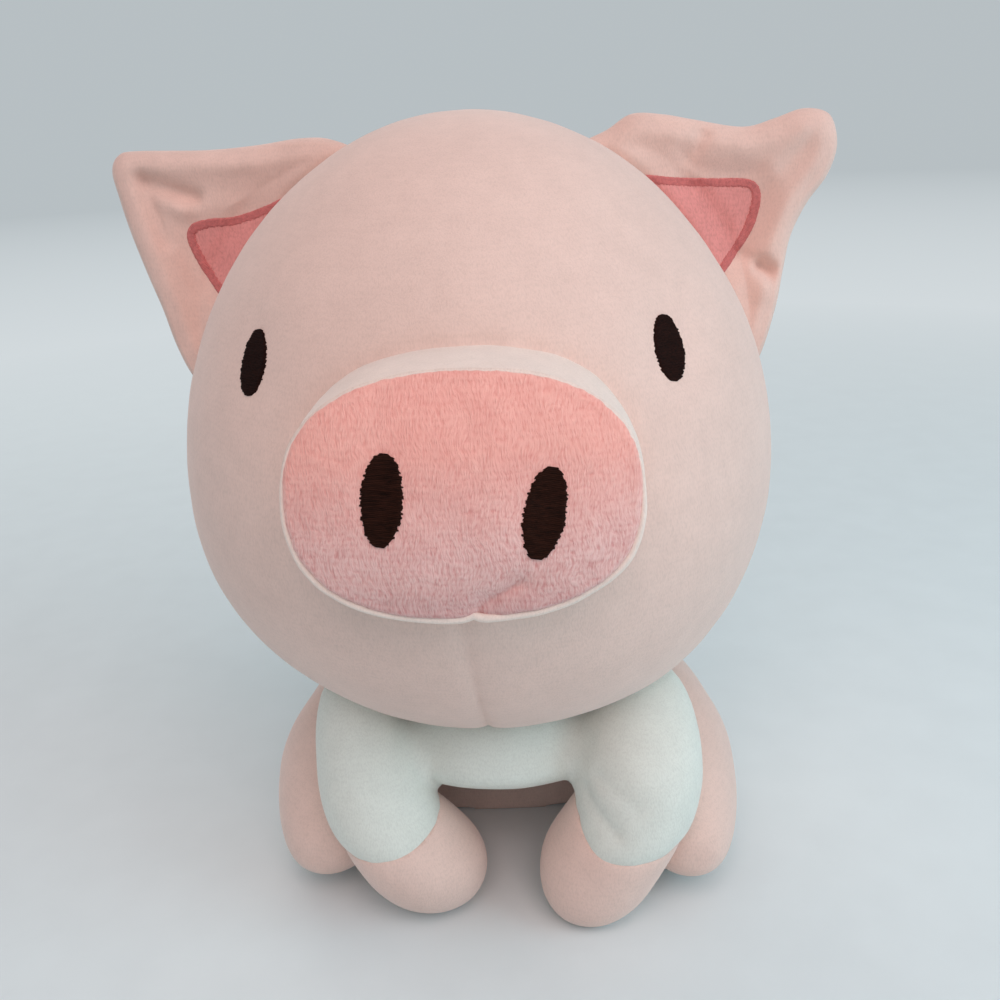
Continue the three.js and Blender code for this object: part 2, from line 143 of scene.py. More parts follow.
# Satin stitches: how far the ends of rows wander, how plump rows are, how the thread lies and where it dives
CUTS_PER_STITCH = 4
ROW_JAG = (-0.4 * MM, 0.3 * MM)
ROW_PLUMP = (0.7, 1.25)
ROW_LEAST = 0.2 * MM
ROW_TIP_SHARE = 0.995
ROW_END_SHARES = (0.14, 0.03)
THREAD_RISE = 0.3 * MM
THREAD_RIDGE = 0.22 * MM
THREAD_DIVE = 0.7 * MM
THREAD_WALL = 0.35 * MM
EYE_LOOK_UP = 8 * MM

# Far enough from the head to look at it from outside
OUTSIDE = 200 * MM

# How finely forms are cut, and how many points stand for an outline or a line
CUTS = {
    "head": 84, "body": 60, "front_leg": 44, "hind_leg": 56, "head_fill": 20, "body_fill": 16, "leg_fill": 12,
    "neck_fill": 10, "snout": 110, "ear": 72, "patch": 48,
}
BAND_SEGMENTS = 240
BAND_RINGS = 30
EDGING_RINGS = 9
TAIL_SEGMENTS = 40
TAIL_RINGS = 110
ROW_CUTS = 20
BORDER_POINTS = 100
PATCH_POINTS = 80
TAIL_POINTS = 60

# Stitched ovals: their place in the head's frame and how far they lean to the pig's left
NOSTRILS = {"left": (mm(19, 0, -5.8), math.radians(12)), "right": (mm(-18, 0, -1.2), math.radians(7))}
EYES = {"left": (mm(54.5, 0, 27.2), math.radians(9)), "right": (mm(-57, 0, 28.2), math.radians(-6))}

# Body, in the frame whose origin is under the head's centre
NECK_BACK = 4 * MM
BODY_MIDDLE = 39.75 * MM
BODY_HALF_HEIGHT = 40.25 * MM
RUMP_HALF_WIDTH = 56 * MM
CHEST_HALF_WIDTH = 47 * MM
BODY_LEAN = 3.5 * MM
BELLY_FORWARD = 2 * MM
BELLY_RISE_SHARE = 0.2
CHEST_RISE_SHARE = 0.68
CHEST_FORWARD = 56.5 * MM
RUMP_BACK = 62 * MM
SHOULDERS_BACK = 46 * MM
BODY_POWER = 2.5
HEM_POINT = mm(0, -34, 38)
HEM_TILT = math.radians(14)
HEM_NORMAL = Vector((0, -math.sin(HEM_TILT), math.cos(HEM_TILT)))

# Legs: the spines are (across, y, z), and the toy holds its two sides a little differently
FRONT_SPINES = {
    "left": mm_list(
        (26.3, -54.5, -0.5), (32.7, -50.1, 20), (42.7, -50.1, 40), (45.5, -45.9, 60), (47.8, -34, 82)
    ),
    "right": mm_list(
        (24.9, -43, -0.5), (30, -46.4, 20), (41.1, -47.4, 40), (46.3, -41.9, 60), (50.4, -34, 82)
    ),
}
FRONT_GIRTHS = {"left": mm(22, 22.2, 20.8, 20.7, 18.2), "right": mm(24.1, 22.9, 19, 16.7, 14.8)}
FRONT_POWER = 2.9
CUFFS = {"left": (30.5 * MM, 11 * MM, 5), "right": (30.4 * MM, 8 * MM, 1.7)}
CUFF_SEAM_DEPTH = 1.1 * MM
SLEEVE_CREASES = [
    (mm_list((26.6, -57.2, 50.2), (30.5, -63.7, 45.8), (35.1, -68.6, 41)), 2.2 * MM, 1.9 * MM),
    (mm_list((30, -60.1, 56.9), (35.5, -65.4, 54.9), (41.9, -68.9, 50.1)), 1.2 * MM, 3.4 * MM),
]
SLEEVE_START = mm(32, -40, 54)
SLEEVE_RUN = mm(16, -5, -20)
SLEEVE_BACK = -8 * MM
SLEEVES_APART = 2 * MM
ARMPIT_ROUND = 14 * MM
ARMPIT_SHARP = (48 * MM, 64 * MM)
ARMPIT_LEAST = 0.15
ARMPIT_PASSES = 60
ARMPIT_NARROWING = 0.6
SKIN_CELL = 1.7 * MM
SOLE_SHARE = 0.02
NECK_RADIUS = 27 * MM
NECK_HEIGHT = 66 * MM
HIND_SPINES = {
    "left": mm_list((48, 44, 0), (48, 12.5, 0), (56, -10.25, 0), (63, -57, 0)),
    "right": mm_list((48, 44, 0), (48, 12.5, 0), (57, -10.25, 0), (64, -49, 0)),
}
HIND_GIRTHS = [31.5 * MM, 31.5 * MM, 27.8 * MM, 20.5 * MM]
HIND_POWER = 2.8
HIND_MIDDLE = mm(55, 0, 25)
FLOOR_CUT = 0.5 * MM

# Tail
TAIL_ROOT = mm(0, 54, 34)
TAIL_TURNS = 1.25
TAIL_CURL = 8 * MM
TAIL_OPEN_TURNS = 0.5
TAIL_PITCH = 10.5 * MM
TAIL_STEM = 5 * MM
TAIL_STEM_TURNS = 0.25
TAIL_RADIUS = 4.7 * MM
TAIL_TAPER = 0.12
TAIL_TIP_SHARE = 0.07
TAIL_STEP = 0.004
TAIL_SEAM_DEPTH = 0.5 * MM

# Ears: their middle, and the outlines of each ear and of its patch, as (across, up) in the head's frame
EAR_MIDDLE = mm(88, 66)
EAR_CUP_MIDDLE = mm(81, 63)
EAR_CUP = 7 * MM
EAR_CUP_REACH = 79 * MM
EAR_BASE = [(91, 12), (86, 16), (84, 27), (75, 48), (61, 68), (44, 83)]
EAR_OUTLINES = {
    "left": [
        (36, 88), (46, 93), (54, 97.5), (64, 97), (74, 95), (90, 92), (100, 94), (109, 96.5), (116.5, 95),
        (119.5, 90), (120, 83), (117, 75), (111, 67), (106, 57), (103.5, 46), (101, 34), (96, 19),
    ],
    "right": [
        (36, 90), (44, 94.5), (54, 95.3), (68, 94), (85, 93.3), (108, 94), (114, 92.7), (116.5, 88),
        (115.5, 80), (113, 68), (109, 54), (105, 42), (101.5, 30), (97, 20),
    ],
}
PATCH_BASE = [(80, 45), (76.5, 50), (69, 61), (62, 70)]
PATCH_OUTLINES = {
    "left": [(57, 76.5), (66, 76), (80, 75), (90, 74.5), (94, 72.5), (94.5, 68), (92, 60), (86, 51)],
    "right": [(57, 76.5), (66, 73.5), (78, 70.5), (87, 70), (92, 68.5), (93, 64.5), (89.5, 56), (84.5, 48)],
}
EAR_ROLL_SHARE = 0.72
EAR_ROLL_MOST = 0.6
EAR_LUMPS = {"left": [(0.45 * MM, 16 * MM, 8)], "right": [(0.45 * MM, 16 * MM, 11)]}
EAR_BACK_LUMPS = [(0.5 * MM, 14 * MM, 14)]

# Along an ear's border lie a puff and then an uneven valley, as (place, height, width, unevenness)
EAR_WAVES = [(6.5 * MM, 1.3 * MM, 3 * MM, 0), (14.5 * MM, -1.1 * MM, 3.2 * MM, 0.5)]
EAR_WAVE_LUMP = 12 * MM
PATCH_SINK = 3 * MM
PATCH_SLOPE = 9 * MM
PATCH_INNER_SLOPE = 1.5 * MM
PATCH_RISE = 0.5 * MM
PATCH_LUMPS = [(0.35 * MM, 10 * MM, 15)]
PATCH_DIVE = 0.2 * MM
PATCH_EDGE_SHARE = 0.08
PATCH_WALL = 0.8 * MM
EDGING_WIDTH = 3.2 * MM
EDGING_JAGS = (0.5 * MM, 0.15 * MM)
EDGING_RISE = 0.55 * MM
EDGING_RIDGE = 0.2 * MM
EDGING_DIVE = 0.5 * MM
EDGING_END_SHARE = 0.2
EDGING_STEP = 0.002
EDGING_WALL = 0.3 * MM

# Folds of the ears: from a place to a place, how wide, and how high or deep
EAR_FOLDS = {
    "left": [
        (mm(96, 47.5), mm(98, 46), 2.6 * MM, -4.5 * MM),
        (mm(97, 48), mm(88, 53), 2 * MM, -1.5 * MM),
        (mm(97, 38), mm(93, 42), 4 * MM, 0.9 * MM),
        (mm(72, 84), mm(76, 89), 3 * MM, -1.8 * MM),
        (mm(108, 88), mm(100, 80), 4 * MM, 1.2 * MM),
    ],
    "right": [
        (mm(106, 85), mm(90, 78.5), 2.4 * MM, -2.6 * MM),
        (mm(101, 77), mm(94, 74), 2.6 * MM, 1.3 * MM),
        (mm(107, 84), mm(101, 64), 2.4 * MM, -1.8 * MM),
        (mm(100, 90), mm(70, 88), 3 * MM, 0.8 * MM),
    ],
}

NECK = next(joint for joint in frame["joints"] if joint["name"] == "head_nod")["pos_m"]
TOY = Matrix.Translation((0, NECK[1] - NECK_BACK, 0))
BODY = TOY @ Matrix.Translation((BODY_LEAN, 0, 0))
HEAD = TOY @ Matrix.Translation((0, 0, HEAD_CENTRE)) @ Matrix.Rotation(-HEAD_TILT, 4, "X")


def length(name, default, description):
    return FloatProperty(name=name, description=description, default=default * MM, min=0, unit="LENGTH")


def colour(name, default, description):
    return FloatVectorProperty(
        name=name, description=description, default=default, size=3, min=0, max=1, subtype="COLOR_GAMMA"
    )


def power(name, default, description):
    return FloatProperty(name=name, description=description, default=default, min=0, unit="POWER")


class PigSizes(bpy.types.PropertyGroup):
    """Sizes of the covers and of the stitching"""
    head_width: length("Head width", 190, "Width of the head across the cheeks")
    head_depth: length("Head depth", 186, "Depth of the head without the muzzle")
    head_height: length("Head height", 199, "Height of the head")
    snout_width: length("Snout width", 84.4, "Width of the coral disc")
    snout_height: length("Snout height", 59, "Height of the coral disc")
    snout_reach: length("Snout reach", 109, "From the head's centre to the snout's rim")
    nostril_width: length("Nostril width", 10.8, "Width of a stitched nostril")
    nostril_height: length("Nostril height", 22.6, "Height of a stitched nostril")
    eye_width: length("Eye width", 11.6, "Width of a stitched eye")
    eye_height: length("Eye height", 18.3, "Height of a stitched eye")
    ear_thickness: length("Ear thickness", 9, "Thickness of a padded ear")
    cloth: length("Cloth", 1.2, "Thickness of the plush with its backing")
    seam_depth: length("Seam depth", 1.5, "How far a seam pulls the cloth in")
    seam_width: length("Seam width", 2.2, "How far from a seam the cloth rises again")
    stitch: length("Stitch pitch", 0.45, "From one satin stitch to the next")


class PigColours(bpy.types.PropertyGroup):
    """Colours of the plush and of the threads"""
    pale: colour("Pale plush", (0.885, 0.78, 0.737), "Face, paws and rump")
    ear: colour("Ear plush", (0.885, 0.757, 0.71), "Front and back of the ears")
    # The band is the face's plush, painted lighter for the light that the muzzle's side wall catches
    band: colour("Lit band plush", (0.915, 0.855, 0.815), "Pale side wall of the muzzle")
    # The snout's three colours paint its light: the upper coral is warmed where the top lamp falls, the
    # middle is paler, and the lower one is darker as painted shade where the snout turns down
    coral: colour("Coral plush", (0.96, 0.70, 0.655), "Upper part of the snout")
    coral_middle: colour("Coral plush, middle", (0.915, 0.728, 0.706), "Middle of the snout")
    coral_shaded_low: colour("Coral plush, shaded below", (0.74, 0.544, 0.548), "Lower part of the snout")
    rose: colour("Rose plush", (0.865, 0.58, 0.56), "Patches in the ears")
    rose_thread: colour("Rose thread", (0.79, 0.475, 0.465), "Edging of the ear patches")
    mint: colour("Mint plush", (0.86, 0.88, 0.85), "Shirt and sleeves")
    brown: colour("Brown thread", (0.135, 0.06, 0.035), "Nostrils")
    black: colour("Black thread", (0.11, 0.04, 0.025), "Eyes")
    fibre: colour("Fibre", (0.96, 0.95, 0.93), "Filling")


class PigStudio(bpy.types.PropertyGroup):
    """Lamps and backdrop"""
    floor: colour("Floor", (0.868, 0.912, 0.92), "Floor close to the toy")
    # Painted light where the far floor begins to fade; it dims with distance to the backdrop colour
    near_glow: colour("Near glow", (0.84, 0.867, 0.88), "Where the floor begins to fade")
    backdrop: colour("Backdrop", (0.72, 0.75, 0.765), "Far floor and sky")
    top_lamp: power("Top lamp", 5.2, "Wide warm lamp over the toy")
    side_lamp: power("Side lamp", 3.75, "Cooler lamp on the toy's left")
    back_lamp: power("Back lamp", 2.6, "Soft lamp behind the toy")
    sky: FloatProperty(name="Sky", description="Strength of the even light", default=0.47, min=0)


def sizes():
    return bpy.context.scene.pig_sizes


# Curves and noise

def spline(points, share):
    """A point on the smooth curve through numbers or vectors, at a share of its run."""
    place = min(max(share, 0), 1) * (len(points) - 1)
    i = min(int(place), len(points) - 2)
    t = place - i
    a, b = points[i], points[i + 1]
    before = points[i - 1] if i > 0 else 2 * a - b
    after = points[i + 2] if i + 2 < len(points) else 2 * b - a
    bend = 2 * before - 5 * a + 4 * b - after
    return 0.5 * (2 * a + (b - before) * t + bend * t * t + (3 * a - before - 3 * b + after) * t ** 3)


def even_loop(points, steps=360):
    """A function that gives a point of a smooth closed outline at an even share of its length."""
    count = len(points)
    path = []
    for i in range(count):
        four = [Vector(points[(i + k - 1) % count]) for k in range(4)]
        part = steps // count
        path += [spline(four, (1 + step / part) / 3) for step in range(part)]
    path.append(path[0])
    runs = [0]
    for a, b in zip(path, path[1:]):
        runs.append(runs[-1] + (b - a).length)

    def point(share):
        target = (share % 1) * runs[-1]
        low, high = 0, len(runs) - 1
        while high - low > 1:
            middle = (low + high) // 2
            if runs[middle] <= target:
                low = middle
            else:
                high = middle
        return path[low].lerp(path[high], (target - runs[low]) / max(runs[high] - runs[low], 1e-9))

    return point, runs[-1]


def smooth(share):
    """A soft step: 0 up to 0, and 1 from 1 on."""
    share = min(max(share, 0), 1)
    return share * share * (3 - 2 * share)


def lump(point, size, seed):
    """Soft noise from -1 to 1 with features of a size."""
    return noise.noise(point / size + Vector((seed, 1.7 * seed, 0.3 * seed)))


def lumps(point, waves):
    """The sum of soft noises, each with its height, size and seed."""
    return sum(height * lump(point, size, seed) for height, size, seed in waves)


def bell(share):
    """1 at 0, and close to 0 from 2 on."""
    return math.exp(-(share ** 2))


def seam(distance, point, depth=None):
    """How far a sewn line pulls the cloth in at a distance from it. The stitches pucker it."""
    s = sizes()
    pucker = 1 + PUCKER_SHARE * lump(point, PUCKER_PITCH, 3)
    return -(depth or s.seam_depth) * pucker * math.exp(-abs(distance) / s.seam_width)


def segment_distance(point, start, end):
    """From a point to the straight line between two points."""
    run = end - start
    share = min(max((point - start).dot(run) / run.length_squared, 0), 1)
    return (point - start - run * share).length


def crease(point, line, depth, width):
    """How far a sharp fold along a line of points pulls the cloth in."""
    near = min(segment_distance(point, a, b) for a, b in zip(line, line[1:]))
    return -depth * math.exp(-near / width)


def inside(point, outline):
    """Whether a flat point lies inside a closed outline."""
    odd = False
    for a, b in zip(outline, outline[1:] + outline[:1]):
        if (a.y > point.y) != (b.y > point.y):
            if point.x < (b.x - a.x) * (point.y - a.y) / (b.y - a.y) + a.x:
                odd = not odd
    return odd


# Meshes

LEAST_SPLIT = 0.04


def ball(cuts):
    """A round ball of square cells without poles."""
    bm = bmesh.new()
    bmesh.ops.create_cube(bm, size=2)
    bmesh.ops.subdivide_edges(bm, edges=bm.edges[:], cuts=cuts, use_grid_fill=True)
    for vert in bm.verts:
        vert.co = Vector(math.tan(value * math.pi / 4) for value in vert.co).normalized()
    return bm


def disc(cuts):
    """A round sheet in X and Y whose rings and spokes are even."""
    bm = bmesh.new()
    bmesh.ops.create_grid(bm, x_segments=cuts, y_segments=cuts, size=1)
    eighth = math.pi / 4
    for vert in bm.verts:
        u, v = vert.co.x, vert.co.y
        reach = max(abs(u), abs(v))
        if reach > 0:
            flat = abs(u) >= abs(v)
            angle = eighth * v / u if flat else 2 * eighth - eighth * u / v
            if (u if flat else v) < 0:
                angle += math.pi
            vert.co = Vector((reach * math.cos(angle), reach * math.sin(angle), 0))
    return bm


def tube(segments, rings):
    """A sleeve round Z, one unit in radius, with a ring at each whole height."""
    bm = bmesh.new()
    bmesh.ops.create_circle(bm, segments=segments, radius=1)
    edges = bm.edges[:]
    for _ in range(rings):
        made = bmesh.ops.extrude_edge_only(bm, edges=edges)["geom"]
        verts = {item for item in made if isinstance(item, bmesh.types.BMVert)}
        edges = [item for item in made if isinstance(item, bmesh.types.BMEdge) and set(item.verts) <= verts]
        bmesh.ops.translate(bm, verts=list(verts), vec=(0, 0, 1))
    return bm


def turn_of(point):
    """The share of a full turn from X at which a point lies."""
    return math.atan2(point.y, point.x) / FULL_TURN


def put(bm, place):
    """Moves every point of a mesh to its place."""
    for vert in bm.verts:
        vert.co = place(vert.co.copy())
    return bm


def put_tube(bm, rings, place):
    """Moves the points of a sleeve to place(turn, share), both from 0 to 1."""
    for vert in bm.verts:
        turn = turn_of(vert.co) % 1
        vert.co = place(turn, round(vert.co.z) / rings)
    return bm


def cut(bm, point, normal):
    """Adds a loop of edges along a plane and keeps both sides."""
    everything = bm.verts[:] + bm.edges[:] + bm.faces[:]
    bmesh.ops.bisect_plane(bm, geom=everything, dist=1e-7, plane_co=point, plane_no=normal)


def cut_where(bm, level):
    """Adds edges along the line where a level changes sign."""
    levels = {vert: level(vert.co) for vert in bm.verts}
    line = []
    for edge in bm.edges[:]:
        a, b = edge.verts
        if levels[a] * levels[b] < 0:
            share = levels[a] / (levels[a] - levels[b])
            share = min(max(share, LEAST_SPLIT), 1 - LEAST_SPLIT)
            line.append(bmesh.utils.edge_split(edge, a, share)[1])
    bmesh.ops.connect_verts(bm, verts=line)


def above(face, level):
    """Whether a face lies on the upper side of a level, judged by its corner that is farthest from 0."""
    return max((level(vert.co) for vert in face.verts), key=abs) > 0


def face_out(bm, out):
    """Turns the faces so that they agree and point away from a point, or along a direction."""
    bmesh.ops.recalc_face_normals(bm, faces=bm.faces[:])
    if callable(out):
        side = sum(out(face) for face in bm.faces)
    else:
        side = sum((face.calc_center_median() - out).dot(face.normal) * face.calc_area() for face in bm.faces)
    if side < 0:
        bmesh.ops.reverse_faces(bm, faces=bm.faces[:])
    bm.normal_update()


def shape(bm, offset, centre=Vector((0, 0, 0))):
    """Moves each point along its normal by an offset that depends on where it is."""
    face_out(bm, centre)
    moves = [(vert, vert.normal * offset(vert.co)) for vert in bm.verts]
    for vert, move in moves:
        vert.co += move


def keep_faces(bm, wanted):
    """A copy of a mesh with only the wanted faces."""
    part = bm.copy()
    unwanted = [face for face, kept in zip(part.faces[:], [wanted(face) for face in bm.faces]) if not kept]
    bmesh.ops.delete(part, geom=unwanted, context="FACES")
    return part


def keep(bm, wanted):
    """A copy of a mesh with only the faces whose middle is wanted."""
    return keep_faces(bm, lambda face: wanted(face.calc_center_median()))


def piece(bm, name, body, slot, nodes, material, pose=TOY, out=Vector((0, 0, 0)), wall=None, fill=None,
          blend=None, crisp=False):
    """Finishes a mesh as a piece that rides on a body, or, given blend, keeps its place baked in and rides on
    none, and stands for CAD nodes.

    A crisp piece keeps its shading flat up to its border, so that no line shows where it meets its neighbour.
    """
    bmesh.ops.remove_doubles(bm, verts=bm.verts[:], dist=1e-6)
    face_out(bm, out)
    for face in bm.faces:
        face.smooth = True
    for edge in bm.edges:
        edge.smooth = not (crisp and edge.is_boundary)
    bm.transform(pose)
    mesh = bpy.data.meshes.new(name)
    bm.to_mesh(mesh)
    bm.free()
    obj = bpy.data.objects.new(name, mesh)
    bpy.context.scene.collection.objects.link(obj)
    mesh.materials.append(material)
    if wall:
        modifier = obj.modifiers.new("Cloth", "SOLIDIFY")
        modifier.thickness = wall
        modifier.offset = -1
    if blend:
        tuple(blend[0])
        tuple(blend[1])
        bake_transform(obj)
    else:
        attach(obj, body)
    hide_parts(*nodes)


def surface(name):
    """The finished surface of a piece of the head, in the head's frame, for laying thread on it."""
    bm = bmesh.new()
    bm.from_mesh(bpy.data.objects[name].data)
    bm.transform(HEAD.inverted())
    tree = BVHTree.FromBMesh(bm)
    bm.free()
    return tree


def touch(tree, start, direction):
    """Where a line from a start meets a surface, and the surface's normal there."""
    place, normal, _, _ = tree.ray_cast(start, direction)
    if place is None:
        raise RuntimeError("nothing to lay the thread on")
    return place, (normal if normal.dot(direction) < 0 else -normal)


# Materials

STRAND_WIDTH = 0.36 * MM
STRAND_DRIFT = 4 * MM
STRAND_SHARE = 0.62
TUFT_SHARE = 0.32
KNIT_SHARE = 0.06
KNIT_SCALE = 0.2 / MM
# Power that softens the pile's painted shade and highlight on the snout's upper part
UPPER_PILE_SHADING_POWER = 0.55
THREAD_ROW_SHARE = 0.3


class Nodes:
    """Adds nodes to a material or a world, with numbers or sockets as inputs."""

    def __init__(self, owner):
        self.owner = owner
        owner.use_nodes = True
        self.tree = owner.node_tree
        self.tree.nodes.clear()

    def add(self, kind, inputs=None, **settings):
        node = self.tree.nodes.new("ShaderNode" + kind)
        for key, value in settings.items():
            setattr(node, key, value)
        for key, value in (inputs or {}).items():
            if isinstance(value, bpy.types.NodeSocket):
                self.tree.links.new(value, node.inputs[key])
            else:
                node.inputs[key].default_value = value
        return node

    def mixed(self, share, a, b, blend="MIX"):
        return self.add("Mix", {0: share, 6: a, 7: b}, data_type="RGBA", blend_type=blend).outputs[2]

    def dimmed(self, tint, level, red=None):
        """A colour times a grey level, whose red may differ."""
        grey = self.add("CombineColor", {0: red or level, 1: level, 2: level}).outputs[0]
        return self.mixed(1.0, tint, grey, "MULTIPLY")

    def noise(self, place, scale, detail, **more):
        inputs = {"Vector": place, "Scale": scale, "Detail": detail, **more}
        return self.add("TexNoise", inputs).outputs["Fac"]

    def calc(self, a, b, how="ADD"):
        return self.add("Math", {0: a, 1: b}, operation=how).outputs[0]

    def span(self, value, low, high, to_low=0.0, to_high=1.0):
        inputs = {"Value": value, "From Min": low, "From Max": high, "To Min": to_low, "To Max": to_high}
        return self.add("MapRange", inputs).outputs[0]

    def finish(self, shader, output="OutputMaterial"):
        self.add(output, {"Surface": shader})
        return self.owner


def linear(shade, factor=1.0):
    """A screen colour as linear light, with full opacity."""
    light = [v / 12.92 if v <= 0.04045 else ((v + 0.055) / 1.055) ** 2.4 for v in shade]
    return [min(1, factor * v) for v in light] + [1.0]


def plush(name, shade, pile=0.85, depth=0.09, gap=0.93, patchy=0.03, seed=0.0, run=1.15, below=None,
          red_in_shade=1.0, flat=False, tip_highlight=1.03):
    """Short pile: wandering strands with painted shade in the gaps and painted highlight at the strands'
    ends, fine knit rows under it, and a soft sheen.

    pile is the strands' size, run their length, depth their height in millimetres, gap how dark the painted
    shade between them is, and tips how light the painted highlight on them is. A blush under 1 keeps the red
    in the painted shade of the gaps. The strands of a flat piece also lie along Y. below gives the colours of
    the snout's lower part
    and middle: painted shade below that fades into the painted warm light of the upper colour.
    """
    nodes = Nodes(bpy.data.materials.new(name))
    coords = nodes.add("TexCoord").outputs["Object"]
    drift = nodes.add("TexNoise", {"Vector": coords, "Scale": 90, "Detail": 2.0}).outputs["Color"]
    moved = nodes.add(
        "VectorMath", {0: drift, 1: [STRAND_DRIFT] * 3, 2: coords}, operation="MULTIPLY_ADD"
    ).outputs[0]
    wide, long = 1 / (STRAND_WIDTH * pile), 1 / (run * MM * pile)
    lay = nodes.add("Mapping", {
        "Vector": moved, "Location": [seed] * 3, "Scale": (wide, long if flat else wide, long),
    }).outputs[0]
    strands = nodes.noise(lay, 1, 2.0, Roughness=0.6)
    tufts = nodes.add("TexVoronoi", {"Vector": lay, "Scale": 0.62, "Smoothness": 0.5}, feature="SMOOTH_F1")
    rows = nodes.add("TexWave", {
        "Vector": moved, "Scale": KNIT_SCALE, "Distortion": 1.5, "Detail": 1.0, "Detail Scale": 2.0,
    }, bands_direction="Z").outputs["Fac"]
    tuft_height = nodes.span(tufts.outputs["Distance"], 0.0, 0.9, 1.0, 0.0)
    height = nodes.calc(
        nodes.calc(strands, STRAND_SHARE, "MULTIPLY"), nodes.calc(tuft_height, TUFT_SHARE, "MULTIPLY")
    )
    height = nodes.calc(height, nodes.calc(rows, KNIT_SHARE, "MULTIPLY"))
    bump = nodes.add("Bump", {"Height": height, "Strength": 1.0, "Distance": depth * MM})
    tones = nodes.calc(nodes.noise(coords, 33, 2.0), nodes.noise(coords, 170, 3.0))
    tone = nodes.span(tones, 0.75, 1.25, 1 - patchy, 1 + patchy)
    # Painted shade in the gaps between strands and painted highlight at their ends, by the strands' height
    pile_shading = nodes.span(height, 0.28, 0.56, gap, tip_highlight)
    tint = linear(shade)
    # The snout's painted shade below, through its middle, up to its painted warm top
    if below:
        height_up = nodes.add("SeparateXYZ", {0: coords}).outputs["Z"]
        rises = [nodes.span(height_up, *fade) for fade in SNOUT_SHADE_FADES]
        tint = nodes.mixed(rises[1], nodes.mixed(rises[0], *(linear(part) for part in below)), tint)
        pile_shading = nodes.calc(pile_shading, nodes.span(rises[1], 0, 1, 1, UPPER_PILE_SHADING_POWER), "POWER")
    level = nodes.calc(tone, pile_shading, "MULTIPLY")
    # The painted shade keeps more of its red when blush is under 1
    base = nodes.dimmed(tint, level, nodes.calc(level, red_in_shade, "POWER"))
    shader = nodes.add("BsdfPrincipled", {
        "Base Color": base, "Roughness": 0.92, "Specular IOR Level": 0.2, "Sheen Weight": 0.35,
        "Sheen Roughness": 0.45, "Sheen Tint": (1.0, 0.93, 0.9, 1.0), "Normal": bump.outputs[0],
    })
    return nodes.finish(shader.outputs[0])


def satin(name, shade, lay=(1 / 3, 8, 8), tones=(0.3, 2.1)):
    """Polyester thread: fine strands along the stitches, lighter where they stand high as painted highlight,
    rows with tones of their own, and a low gloss.
    """
    nodes = Nodes(bpy.data.materials.new(name))
    coords = nodes.add("TexCoord").outputs["Object"]

    def grain(share, detail):
        scale = [share * value / MM for value in lay]
        return nodes.noise(nodes.add("Mapping", {"Vector": coords, "Scale": scale}).outputs[0], 1, detail)

    fine = grain(1, 2.0)
    # Painted highlight where the strands stand high, and the rows' own tones
    level = nodes.span(nodes.calc(fine, grain(THREAD_ROW_SHARE, 1.0)), 0.65, 1.35, *tones)
    bump = nodes.add("Bump", {"Height": fine, "Strength": 0.8, "Distance": 0.06 * MM})
    shader = nodes.add("BsdfPrincipled", {
        "Base Color": nodes.dimmed(linear(shade), level), "Roughness": 0.6, "Specular IOR Level": 0.06,
        "Normal": bump.outputs[0],
    })
    return nodes.finish(shader.outputs[0])


def wadding(name, shade):
    """Loose polyester fibre."""
    nodes = Nodes(bpy.data.materials.new(name))
    coords = nodes.add("TexCoord").outputs["Object"]
    curls = nodes.noise(coords, 600, 4.0, Distortion=1.5)
    base = nodes.mixed(curls, linear(shade, 0.8), linear(shade))
    bump = nodes.add("Bump", {"Height": curls, "Strength": 0.8, "Distance": 0.6 * MM})
    shader = nodes.add("BsdfPrincipled", {"Base Color": base, "Roughness": 1.0, "Normal": bump.outputs[0]})
    return nodes.finish(shader.outputs[0])


def finish(name):
    """The finish of a name, made when it is first asked for."""
    made = bpy.data.materials.get(name)
    if made:
        return made
    c = bpy.context.scene.pig_colours
    makers = {
        "Pale plush": lambda: plush(name, c.pale),
        # The band's plush holds painted light
        "Lit band plush": lambda: plush(name, c.band, seed=3.0),
        # The coral plush is painted with warm light on top and shade below
        "Coral plush": lambda: plush(
            name, c.coral, depth=0.45, gap=0.66, tip_highlight=1.12, patchy=0.06, seed=5.0, run=1.5,
            below=(c.coral_shaded_low, c.coral_middle), red_in_shade=0.4, flat=True
        ),
        "Ear plush": lambda: plush(name, c.ear, patchy=0.04, seed=2.0),
        "Rose plush": lambda: plush(name, c.rose, pile=1.0, depth=0.22, gap=0.85, patchy=0.05, seed=7.0),
        "Mint plush": lambda: plush(name, c.mint, depth=0.1, seed=9.0),
        "Rose thread": lambda: satin(name, c.rose_thread, lay=(3, 3, 3), tones=(0.8, 1.15)),
        "Brown thread": lambda: satin(name, c.brown),
        "Black thread": lambda: satin(name, c.black),
        "Fibre": lambda: wadding(name, c.fibre),
    }
    return makers[name]()


# Forms

def ring_share(height, power_of):
    """The girth of a rounded form at a height from -1 to 1, as a share. A higher power is squarer."""
    return max(0, 1 - abs(height) ** power_of) ** (1 / power_of)


def head_ring(height):
    """The share of the head's girth at a height from -1 to 1."""
    return ring_share(height, JOWL_POWER if height < 0 else CROWN_POWER) * (1 - CHEEK_FULLNESS * height)


def mirrored(point, sign):
    """A point of the left side, or its mirror image on the right."""
    return Vector((sign * point.x, point.y, point.z))


def round_of(a, b):
    """The direction of a flat place from the middle."""
    reach = math.hypot(a, b)
    return (a / reach, b / reach) if reach > 0 else (1, 0)


def head_form(inset=0.0):
    """Places the points of a ball on the head: an egg with full cheeks, whose jaw leans to the toy's left."""
    s = sizes()
    half = Vector((s.head_width, s.head_depth, s.head_height)) / 2 - Vector((inset, inset, inset))

    def place(n):
        across, back = round_of(n.x, n.y)
        ring = head_ring(n.z)
        lean = JAW_LEAN * smooth((-n.z - JAW_START_SHARE) / (1 - JAW_START_SHARE))
        return Vector((across * ring * half.x + lean, back * ring * half.y, n.z * half.z))

    return place


